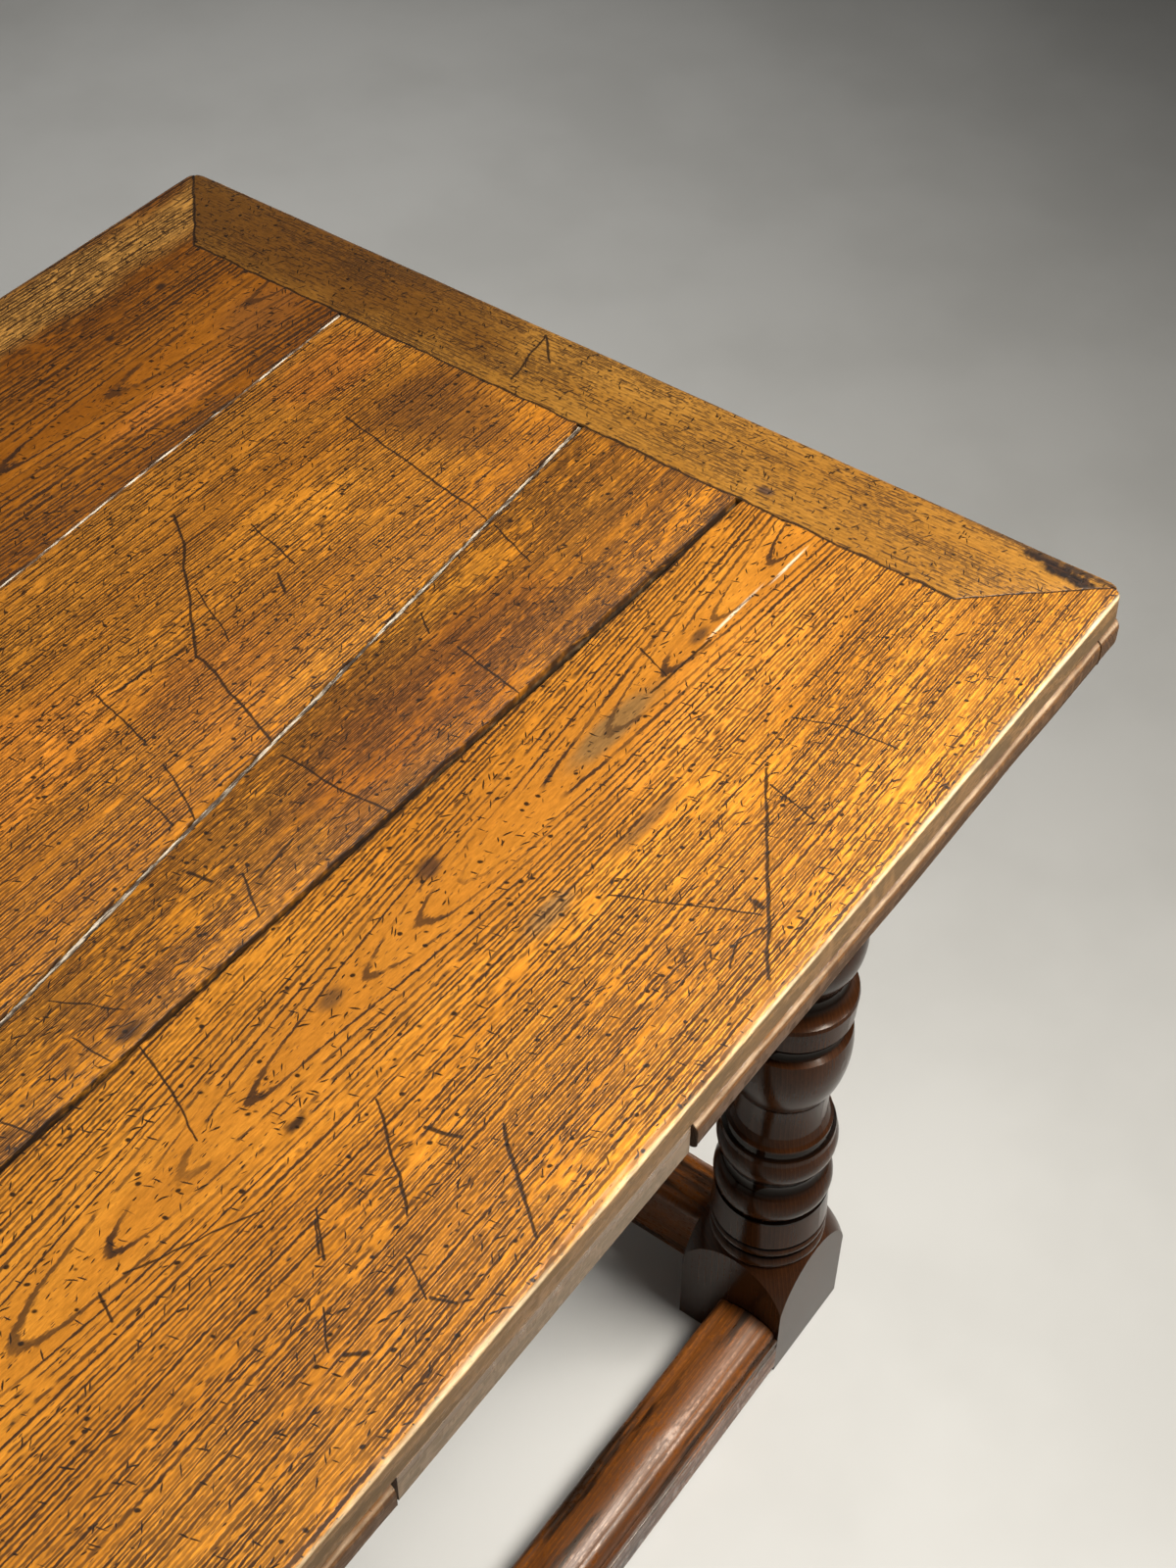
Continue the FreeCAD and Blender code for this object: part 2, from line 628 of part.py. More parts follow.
def make_legs():
    body = doc.addObject("PartDesign::Body", "leg_turned")
    square = sketch_on(body, "XY_Plane", "leg_square")
    outline(square, (f"-{half_stock}", f"-{half_stock}"),
            [(half_stock, f"-{half_stock}"), (half_stock, half_stock), (f"-{half_stock}", half_stock),
             (f"-{half_stock}", f"-{half_stock}")])
    stock = body.newObject("PartDesign::Pad", "leg_stock_pad")
    stock.Profile = square
    tie(stock, Length=frame_head)
    doc.recompute()
    waste = sketch_on(body, "XZ_Plane", "leg_waste")
    start, steps = leg_profile()
    outline(waste, start, steps)
    turning = body.newObject("PartDesign::Groove", "leg_turning")
    turning.Profile = waste
    turning.ReferenceAxis = (waste, ["V_Axis"])
    turning.Angle = 360
    doc.recompute()
    if body.Shape.Volume > 0.95 * stock.Shape.Volume:
        raise RuntimeError("the leg was not turned")

    # Mortises in the two inner faces, and peg holes from the two outer ones
    tools = []
    for tag, offset, thick, low, high in tenons():
        reach = "(tenon_length + mortise_clear)"
        slim = f"({thick} + 2 * mortise_clear)"
        tall = f"({high} - {low} + 2 * mortise_clear)"
        base = f"({low} - mortise_clear)"
        tools.append(box(f"mortise_x_{tag}", f"-{half_stock} - overshoot", f"{offset} - {slim} / 2", base,
                         f"{reach} + overshoot", slim, tall))
        tools.append(box(f"mortise_y_{tag}", f"{offset} - {slim} / 2", f"-{half_stock} - overshoot", base,
                         slim, f"{reach} + overshoot", tall))
    for tag, along, height in peg_spots():
        deep = "(rail_peg_depth + overshoot + peg_clear)"
        bore = "(rail_peg_radius + peg_clear)"
        start = f"{half_stock} - rail_peg_depth - peg_clear"
        tools.append(rod(f"peg_hole_y_{tag}", along, start, height, bore, deep, "y"))
        tools.append(rod(f"peg_hole_x_{tag}", start, along, height, bore, deep, "x"))
    mortises = fuse("leg_mortises", tools)
    for label, x, y, turn in corners():
        leg = cut(label + "_cut", body, [mortises])
        keep(place(leg, x, y, turn=turn), label)


def corners():
    """The four legs: name, place and quarter turn."""
    return (("leg_far_left", leg_x, leg_y, 0), ("leg_near_left", f"-{leg_x}", leg_y, 90),
            ("leg_near_right", f"-{leg_x}", f"-{leg_y}", 180), ("leg_far_right", leg_x, f"-{leg_y}", 270))


def tenons():
    """Each tenon that enters a leg: name, offset from the leg's middle, thickness, foot and head."""
    rail_foot = f"({frame_head} - rail_height + tenon_shoulder)"
    rail_head = f"({frame_head} - tenon_shoulder)"
    low_foot = "(stretcher_lift + (stretcher_height - stretcher_tenon_height) / 2)"
    low_head = f"({low_foot} + stretcher_tenon_height)"
    return (("rail", rail_offset, "tenon_thick", rail_foot, rail_head),
            ("stretcher", stretcher_offset, "stretcher_tenon_thick", low_foot, low_head))


def peg_spots():
    """Each peg of a leg's tenons: name, place along the tenon from the leg's middle, and height."""
    along = f"(tenon_length / 2 - {half_stock})"
    middle = f"({frame_head} - rail_height / 2)"
    spread = "(rail_height / 2 - 2 * tenon_shoulder)"
    low = "(stretcher_lift + stretcher_height / 2)"
    return (("rail_low", along, f"({middle} - {spread})"), ("rail_high", along, f"({middle} + {spread})"),
            ("stretcher", along, low))


def make_pegs():
    """Pegs of the tenons, seated from the outer faces of the legs."""
    bundles = {"rail": [], "stretcher": []}
    for label, x, y, turn in corners():
        for tag, along, height in peg_spots():
            start = f"{half_stock} - rail_peg_depth"
            pair = [rod(f"{label}_{tag}_y", along, start, height, "rail_peg_radius", "rail_peg_depth",
                        "y"),
                    rod(f"{label}_{tag}_x", start, along, height, "rail_peg_radius", "rail_peg_depth",
                        "x")]
            both = group(f"{label}_{tag}_pegs", pair)
            bundles[tag.split("_")[0]].append(place(both, x, y, turn=turn))
    keep(group("rail_peg_group", bundles["rail"]), "rail_pegs")
    keep(group("stretcher_peg_group", bundles["stretcher"]), "stretcher_pegs")


def tenoned(name, body, tenon, span):
    """A rail with a tenon at either end; the body starts at x = 0 and its tenons lie on y = 0."""
    thick, low, high = tenon[2:]
    ends = []
    for end, x in (("start", "-tenon_length"), ("stop", span)):
        ends.append(box(f"{name}_{end}_tenon", x, f"-{thick} / 2", low,
                        "tenon_length", thick, f"{high} - {low}"))
    return fuse(name + "_tenoned", [body] + ends)


def end_peg_holes(name, span, spots):
    """Peg holes through a rail's two tenons."""
    holes = []
    for tag, along, height in spots:
        inset = f"({along} + {half_stock})"
        for end, x in (("start", f"-{inset}"), ("stop", f"({span} + {inset})")):
            holes.append(rod(f"{name}_{end}_{tag}_hole", x, "-rail_thick", height,
                             "rail_peg_radius + peg_clear",
                             "2 * rail_thick", "y"))
    return holes


# Rails: run along X with the outer face towards +Y, then turned to their side of the frame
def rail_blank(name, span):
    foot = f"({frame_head} - rail_height)"
    blank = box(f"{name}_blank", "0", "-rail_thick / 2", foot, span, "rail_thick", "rail_height")
    outer = number("rail_thick / 2")
    at_foot = level(foot)
    bead = rounded(f"{name}_bead", blank, "rail_bead / 2",
                   lambda a, b: at_foot(a, b) and abs(a.y - outer) < 1e-6 and abs(b.y - outer) < 1e-6)
    quirk = box(f"{name}_quirk", "-overshoot", "rail_thick / 2 - rail_quirk", f"{foot} + rail_bead",
                f"{span} + 2 * overshoot",
                "rail_quirk + overshoot", "rail_quirk")
    return tenoned(name, cut(f"{name}_moulded", bead, [quirk]), tenons()[0], span)


def make_rails():
    rail_pegs = peg_spots()[:2]
    # Side rails take the medial rails' tenons and the centre board's pegs
    blank = rail_blank("side_rail", side_span)
    waste = end_peg_holes("side_rail", side_span, rail_pegs)
    medial_foot = f"({frame_head} - medial_height)"
    middle = f"({side_span} / 2)"
    for mark, sign in (("a", "-"), ("b", "+")):
        waste.append(box(f"medial_mortise_{mark}",
                         f"{middle} {sign} {medial_place} - tenon_thick / 2 - mortise_clear",
                         "-rail_thick / 2 - overshoot", f"{medial_foot} + tenon_shoulder - mortise_clear",
                         "tenon_thick + 2 * mortise_clear", "medial_tenon + mortise_clear + overshoot",
                         "medial_height - 2 * tenon_shoulder + 2 * mortise_clear"))
        waste.append(rod(f"centre_peg_socket_{mark}", f"{middle} {sign} centre_length / 4", "0",
                         f"{frame_head} - centre_peg_depth - peg_clear", "centre_peg_radius + peg_clear",
                         "centre_peg_depth + peg_clear + overshoot"))
    for label, x, y, turn in (("side_rail_left", f"-{side_span} / 2", side_rail_y, 0),
                              ("side_rail_right", f"{side_span} / 2", f"-{side_rail_y}", 180)):
        keep(place(cut(label + "_cut", blank, waste), x, y, turn=turn), label)

    # End rails are notched from above for their own leaf's lopers
    for end, loper_place, x, y, turn in (("far", far_loper_place, end_rail_x, f"{end_span} / 2", -90),
                                         ("near", near_loper_place, f"-{end_rail_x}",
                                          f"-{end_span} / 2", 90)):
        name = f"end_rail_{end}"
        blank = rail_blank(name, end_span)
        waste = end_peg_holes(name, end_span, rail_pegs)
        for mark, sign in (("a", "-"), ("b", "+")):
            start = f"{end_span} / 2 {sign} {loper_place} - loper_width / 2 - loper_side_clear"
            waste.append(box(f"{name}_notch_{mark}", start, "-rail_thick", f"{loper_under} - slide_gap",
                             "loper_width + 2 * loper_side_clear", "2 * rail_thick", "loper_height * 2"))
        keep(place(cut(name + "_cut", blank, waste), x, y, turn=turn), name)

    # Medial rails under the centre board guide the lopers' tails and let the stop pegs pass
    inner = f"({side_rail_y} - rail_thick / 2)"
    bar = box("medial_bar", "-medial_thick / 2", f"-{inner}", medial_foot,
              "medial_thick", f"2 * {inner}", "medial_height")
    tongue = box("medial_tenons", "-tenon_thick / 2", f"-({inner} + medial_tenon)",
                 f"{medial_foot} + tenon_shoulder",
                 "tenon_thick", f"2 * ({inner} + medial_tenon)", "medial_height - 2 * tenon_shoulder")
    waste = []
    for end, loper_place in (("far", far_loper_place), ("near", near_loper_place)):
        for side, sign in (("left", ""), ("right", "-")):
            wall = f"({loper_place} + loper_width / 2 + loper_side_clear)"
            wide = "(loper_width + stop_peg_reach + 2 * loper_side_clear)"
            start = f"{wall} - {wide}" if sign == "" else f"-{wall}"
            waste.append(box(f"medial_notch_{end}_{side}", "-medial_thick", start,
                             f"{loper_under} - slide_gap",
                             "2 * medial_thick", wide, "2 * loper_height"))
    joined = fuse("medial_tenoned", [bar, tongue])
    for end, sign in (("far", ""), ("near", "-")):
        keep(place(cut(f"medial_{end}_cut", joined, waste), f"{sign}{medial_place}"), f"medial_rail_{end}")


# Stretchers: moulded bars with the ovolo side outwards
def make_stretchers():
    half = "(stretcher_width / 2)"
    # The middle of a quarter round lies this share of its radius in from the corner
    bow = 0.2929
    for run, span, foot, height in (("side", side_span, "stretcher_lift", "stretcher_height"),
                                    ("end", end_span, "end_stretcher_lift", "end_stretcher_height")):
        head = f"({foot} + {height})"
        ovolo_foot = f"({head} - stretcher_quirk - stretcher_ovolo)"
        cove_foot = f"({ovolo_foot} - stretcher_fillet - stretcher_cove)"
        cove_depth = "(stretcher_cove / 2)"
        inner_foot = f"({head} - stretcher_quirk - stretcher_inner_round)"
        steps = [
            (half, foot),
            (half, cove_foot),
            (f"({half} - {cove_depth})", f"({cove_foot} + {cove_depth})",
             half, f"({cove_foot} + stretcher_cove)"),
            (half, ovolo_foot),
            (f"({half} - stretcher_quirk)", ovolo_foot),
            (f"({half} - stretcher_quirk - stretcher_ovolo * {bow})",
             f"({ovolo_foot} + stretcher_ovolo * {1 - bow})",
             f"({half} - stretcher_quirk - stretcher_ovolo)", f"({head} - stretcher_quirk)"),
            (f"({half} - stretcher_quirk - stretcher_ovolo)", head),
            (f"(stretcher_inner_round + stretcher_quirk - {half})", head),
            (f"(stretcher_inner_round + stretcher_quirk - {half})", f"({head} - stretcher_quirk)"),
            (f"stretcher_inner_round - {half}", f"({head} - stretcher_quirk)"),
            (f"(stretcher_inner_round * {bow} - {half})",
             f"({inner_foot} + stretcher_inner_round * {1 - bow})",
             f"-{half}", inner_foot),
            (f"-{half}", foot),
        ]
        bar = padded(f"{run}_stretcher_bar", "YZ_Plane", (f"-{half}", foot), steps, span)
        name = f"{run}_stretcher"
        holes = end_peg_holes(name, span, peg_spots()[2:])
        blank = cut(f"{name}_bored", tenoned(name, bar, tenons()[1], span), holes)
        if run == "side":
            middle = f"({leg_y} + {stretcher_offset})"
            sides = (("left", f"-{span} / 2", middle, 0), ("right", f"{span} / 2", f"-{middle}", 180))
        else:
            middle = f"({leg_x} + {stretcher_offset})"
            sides = (("far", middle, f"{span} / 2", -90), ("near", f"-{middle}", f"-{span} / 2", 90))
        for side, x, y, turn in sides:
            copy = group(f"{name}_{side}_copy", [blank])
            keep(place(copy, x, y, turn=turn), f"{name}_{side}")


# Centre board: fixed across the frame between the leaves, bored for the guide pegs
def make_centre_board():
    thick = f"({top_under} - {frame_head})"
    blank = box("centre_blank", "-centre_length / 2", f"-{half_width}", frame_head,
                "centre_length", "top_width", thick)
    lip = number(half_width)
    at_foot = level(frame_head)
    board = rounded("centre_rounded", blank, "lower_round",
                    lambda a, b: at_foot(a, b) and abs(abs(a.y) - lip) < 1e-6 and abs(a.y - b.y) < 1e-6)
    holes = []
    pegs = []
    for side, sign in (("left", ""), ("right", "-")):
        holes.append(rod(f"guide_bore_{side}", "0", f"{sign}{guide_peg_spread}",
                         f"{frame_head} - overshoot",
                         "guide_peg_radius + guide_peg_clear", f"{thick} + 2 * overshoot"))
        for mark, across in (("a", "-"), ("b", "")):
            spot = (f"{across}centre_length / 4", f"{sign}{side_rail_y}")
            holes.append(rod(f"centre_peg_hole_{side}_{mark}", *spot, f"{frame_head} - overshoot",
                             "centre_peg_radius + peg_clear", f"{thick} + 2 * overshoot"))
            pegs.append(rod(f"centre_peg_{side}_{mark}", *spot, f"{frame_head} - centre_peg_depth",
                            "centre_peg_radius", f"{thick} + centre_peg_depth"))
    keep(cut("centre_cut", board, holes), "centre_board")
    keep(group("centre_pegs", pegs), "centre_board_pegs")


make_top()
make_leaf("far", 0, far_loper_place)
make_leaf("near", 180, near_loper_place)
make_legs()
make_pegs()
make_rails()
make_stretchers()
make_centre_board()
doc.recompute()

# Nothing is written unless every object computed and every sub-part is a valid solid
for thing in doc.Objects:
    if "Invalid" in thing.State or "Error" in thing.State:
        raise RuntimeError(f"{thing.Name} failed: {thing.State}")
for thing in subparts:
    if thing.Shape.isNull() or not thing.Shape.isValid() or not thing.Shape.Solids:
        raise RuntimeError(f"{thing.Label} has no valid shape")

os.makedirs("parts", exist_ok=True)
for thing in subparts:
    thing.Shape.exportStep(f"parts/{thing.Label}.step")
    print(thing.Label, len(thing.Shape.Solids), "solids", round(thing.Shape.Volume / 1000, 1), "cm3")
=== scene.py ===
import json
import math

import bpy
from mathutils import Matrix, Vector

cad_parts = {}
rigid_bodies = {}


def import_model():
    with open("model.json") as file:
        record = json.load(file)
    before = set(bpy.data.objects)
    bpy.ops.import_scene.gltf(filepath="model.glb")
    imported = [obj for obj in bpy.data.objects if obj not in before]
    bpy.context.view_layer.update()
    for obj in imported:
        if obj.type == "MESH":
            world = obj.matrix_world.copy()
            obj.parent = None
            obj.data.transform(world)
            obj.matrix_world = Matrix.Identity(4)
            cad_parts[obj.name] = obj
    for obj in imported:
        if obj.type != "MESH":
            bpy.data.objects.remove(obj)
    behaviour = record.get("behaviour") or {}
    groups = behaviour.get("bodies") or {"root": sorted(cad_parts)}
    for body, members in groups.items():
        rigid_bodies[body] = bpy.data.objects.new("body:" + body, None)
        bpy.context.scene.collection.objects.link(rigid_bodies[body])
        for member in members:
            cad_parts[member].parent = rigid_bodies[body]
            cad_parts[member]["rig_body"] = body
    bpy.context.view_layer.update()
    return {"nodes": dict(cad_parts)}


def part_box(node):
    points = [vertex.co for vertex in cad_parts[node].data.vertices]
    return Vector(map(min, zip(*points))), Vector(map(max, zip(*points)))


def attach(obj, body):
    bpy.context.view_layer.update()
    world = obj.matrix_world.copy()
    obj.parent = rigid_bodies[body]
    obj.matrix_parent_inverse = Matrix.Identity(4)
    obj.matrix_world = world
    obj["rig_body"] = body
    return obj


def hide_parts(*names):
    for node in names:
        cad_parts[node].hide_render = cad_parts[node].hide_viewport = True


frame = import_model()
print("frame loaded with", len(frame["nodes"]), "nodes")

# places read from the frame, in metres
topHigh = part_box("top_plank_middle")[1].z
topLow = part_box("top_plank_middle")[0].z
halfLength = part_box("top_clamp_far")[1].x
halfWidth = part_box("top_plank_left")[1].y
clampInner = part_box("top_clamp_far")[0].x
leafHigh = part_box("leaf_far_plank_middle")[1].z
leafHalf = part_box("leaf_far_plank_left")[1].y

mm = 0.001


def deselectAll():
    bpy.ops.object.select_all(action="DESELECT")


def focusOn(piece):
    deselectAll()
    piece.select_set(True)
    bpy.context.view_layer.objects.active = piece


# camera
cameraLook = {
    "place": (-0.4658, -0.7526, 1.749),
    "heading": (0.5513, 0.3956),  # direction along the floor
    "pitch": 47.27,  # degrees below level
    "roll": 0.61,
    "lens": 52.67,
    "sensor": 36,
    "clip": 0.05,
}


def addCamera(look):
    heading = Vector(look["heading"])
    drop = -math.tan(math.radians(look["pitch"])) * heading.length
    gaze = Vector((heading.x, heading.y, drop))
    bpy.ops.object.camera_add(location=look["place"])
    camera = bpy.context.object
    camera.name = "studioCamera"
    roll = Matrix.Rotation(math.radians(look["roll"]), 3, "Z")
    camera.rotation_euler = (gaze.to_track_quat("-Z", "Y").to_matrix() @ roll).to_euler()
    camera.data.lens = look["lens"]
    camera.data.sensor_width = look["sensor"]
    camera.data.sensor_fit = "AUTO"
    camera.data.clip_start = look["clip"]
    bpy.context.scene.camera = camera


# lights: the main lamp to the right, a strip for the right edge,
# a fill at the near left and a weak one beyond the far left
lampLook = {
    "rightLamp": {"place": (0.7, -1.03, 2.05), "aim": (0.2, -0.35, 0.4), "size": (0.7, 0.5), "power": 24,
                  "tone": (1.0, 0.965, 0.91), "spread": 112},
    "leftLamp": {"place": (-1.3, 1.2, 2.3), "aim": (-0.4, 0.3, 0.3), "size": (1.2, 1.2), "power": 13,
                 "tone": (1.0, 0.98, 0.95), "spread": 110},
    "edgeLamp": {"place": (1.4, -1.15, 1.85), "aim": (0.42, -0.4, 0.77), "size": (0.55, 0.14), "power": 1.4,
                 "tone": (1.0, 0.98, 0.95), "spread": 60},
    "farLamp": {"place": (1.6, 1.35, 2.2), "aim": (1.5, 1.2, 0), "size": (1.0, 1.0), "power": 3,
                "tone": (1.0, 1.0, 1.0), "spread": 75},
}


def addLamps(looks):
    for name, look in looks.items():
        bpy.ops.object.light_add(type="AREA", location=look["place"])
        lamp = bpy.context.object
        lamp.name = name
        lamp.data.shape = "RECTANGLE"
        lamp.data.size, lamp.data.size_y = look["size"]
        lamp.data.energy = look["power"]
        lamp.data.color = look["tone"]
        lamp.data.spread = math.radians(look["spread"])
        aim = Vector(look["aim"]) - Vector(look["place"])
        lamp.rotation_euler = aim.to_track_quat("-Z", "Y").to_euler()


# a world that is pale at eye level and dark overhead
skyLook = {"level": (0.5, 0.49, 0.465), "high": (0.03, 0.0295, 0.028), "climb": (0.06, 0.36)}


def addSky(look):
    world = bpy.data.worlds.new("studioWorld")
    world.use_nodes = True
    tree = world.node_tree
    gaze = split(tree, tree.nodes.new("ShaderNodeTexCoord").outputs["Generated"])
    climb = ease(tree, gaze["Z"], *look["climb"])
    feed(tree, tree.nodes["Background"].inputs["Color"], mixTone(tree, climb, look["level"], look["high"]))
    bpy.context.scene.world = world


# small helpers for node trees
def feed(tree, socket, value):
    if isinstance(value, bpy.types.NodeSocket):
        tree.links.new(value, socket)
    elif isinstance(value, (tuple, list)) and len(value) == 3 and socket.type == "RGBA":
        socket.default_value = (*value, 1)
    else:
        socket.default_value = value


def calc(tree, operation, first, second=None, third=None, clamp=False):
    node = tree.nodes.new("ShaderNodeMath")
    node.operation = operation
    node.use_clamp = clamp
    for socket, value in zip(node.inputs, (first, second, third)):
        if value is not None:
            feed(tree, socket, value)
    return node.outputs[0]


def times(tree, first, second):
    return calc(tree, "MULTIPLY", first, second)


def minus(tree, first, second):
    return calc(tree, "SUBTRACT", first, second)


def strongest(tree, masks):
    total = masks[0]
    for mask in masks[1:]:
        total = calc(tree, "MAXIMUM", total, mask)
    return total


def vecCalc(tree, operation, first, second=None, answer="Vector"):
    node = tree.nodes.new("ShaderNodeVectorMath")
    node.operation = operation
    feed(tree, node.inputs[0], first)
    if second is not None:
        feed(tree, node.inputs["Scale" if operation == "SCALE" else 1], second)
    return node.outputs[answer]


def split(tree, vector):
    node = tree.nodes.new("ShaderNodeSeparateXYZ")
    feed(tree, node.inputs[0], vector)
    return node.outputs


def combine(tree, *values):
    node = tree.nodes.new("ShaderNodeCombineXYZ")
    for socket, value in zip(node.inputs, values):
        feed(tree, socket, value)
    return node.outputs[0]


def turned(tree, vector, angles):
    node = tree.nodes.new("ShaderNodeMapping")
    feed(tree, node.inputs["Vector"], vector)
    node.inputs["Rotation"].default_value = [math.radians(angle) for angle in angles]
    return node.outputs[0]


def ease(tree, value, low, high):
    node = tree.nodes.new("ShaderNodeMapRange")
    node.interpolation_type = "SMOOTHSTEP"
    feed(tree, node.inputs["Value"], value)
    feed(tree, node.inputs["From Min"], low)
    feed(tree, node.inputs["From Max"], high)
    return node.outputs["Result"]


def easeOff(tree, value, low, high):
    return minus(tree, 1.0, ease(tree, value, low, high))


def mixTone(tree, factor, first, second, blend="MIX"):
    node = tree.nodes.new("ShaderNodeMix")
    node.data_type = "RGBA"
    node.blend_type = blend
    feed(tree, node.inputs[0], factor)
    feed(tree, node.inputs[6], first)
    feed(tree, node.inputs[7], second)
    return node.outputs[2]


# a tone laid over another where a mask says so
def layTone(tree, tone, mask, depth, over):
    return mixTone(tree, times(tree, mask, depth), tone, over)


def cloud(tree, vector, scale, detail=2.0, rough=0.5, answer="Fac"):
    node = tree.nodes.new("ShaderNodeTexNoise")
    feed(tree, node.inputs["Vector"], vector)
    feed(tree, node.inputs["Scale"], scale)
    node.inputs["Detail"].default_value = detail
    node.inputs["Roughness"].default_value = rough
    return node.outputs[answer]


# noise drawn out along the grain
def grain(tree, spot, stretch, detail=2.0, rough=0.5):
    return cloud(tree, vecCalc(tree, "MULTIPLY", spot, stretch), 1, detail, rough)


# noise that pushes a point to either side
def push(tree, vector, scale, detail):
    return vecCalc(tree, "SUBTRACT", cloud(tree, vector, scale, detail, answer="Color"), (0.5, 0.5, 0.5))


def cells(tree, vector, scale):
    node = tree.nodes.new("ShaderNodeTexVoronoi")
    feed(tree, node.inputs["Vector"], vector)
    node.inputs["Scale"].default_value = scale
    return node.outputs


def newGroup(name, inputs, outputs):
    tree = bpy.data.node_groups.new(name, "ShaderNodeTree")
    for label, kind, value in inputs:
        socket = tree.interface.new_socket(label, in_out="INPUT", socket_type=kind)
        if value is not None:
            socket.default_value = value
    for label in outputs:
        tree.interface.new_socket(label, in_out="OUTPUT", socket_type="NodeSocketFloat")
    return tree, tree.nodes.new("NodeGroupInput").outputs, tree.nodes.new("NodeGroupOutput").inputs


def useGroup(tree, group, **values):
    node = tree.nodes.new("ShaderNodeGroup")
    node.node_tree = group
    for label, value in values.items():
        feed(tree, node.inputs[label], value)
    return node.outputs


def newFinish(name):
    material = bpy.data.materials.new(name)
    material.use_nodes = True
    tree = material.node_tree
    place = tree.nodes.new("ShaderNodeTexCoord").outputs["Object"]
    return material, tree, tree.nodes["Principled BSDF"].inputs, place


number = "NodeSocketFloat"
arrow = "NodeSocketVector"

# growth rings cut by the board's faces: rows of open pores that follow them, and a soft shade beside each row
figureLook = {
    "seedShift": (1.7, 2.3, 3.1),
    "slow": (1.8, 8, 8), "slowSway": 3.0,  # noises in waves per metre along, across and through the board
    "quick": (30, 150, 150), "quickSway": 0.42,
    "grit": (130, 520, 520), "gritSway": 0.26,
    "flattest": 0.22, "yearRun": 0.45,
    "ragged": (210, 640, 640), "raggedSpan": (1.9, 0.05), "rowEdge": (0.3, 0.7),
    "region": (9, 34, 34), "regionDepth": 0.85,
    "dashStep": 5.37, "dashSoft": 0.18,
    "fineRun": 2.3, "fineStep": 7.91, "fineFrom": 0.05, "fineTo": 0.25, "fineDepth": 0.85,
    "boldRun": 9.0, "boldStep": 3.17, "boldEdge": (0.3, 0.55), "boldSpan": (0.5, 0.5),
    "pores": (150, 900, 900), "poreEdge": (0.14, 0.34), "poreShare": 0.75, "poreDepth": 0.8,
    "shade": (0.45, 1.0), "mottle": (2.2, 8, 8), "fibre": (110, 620, 620),
}


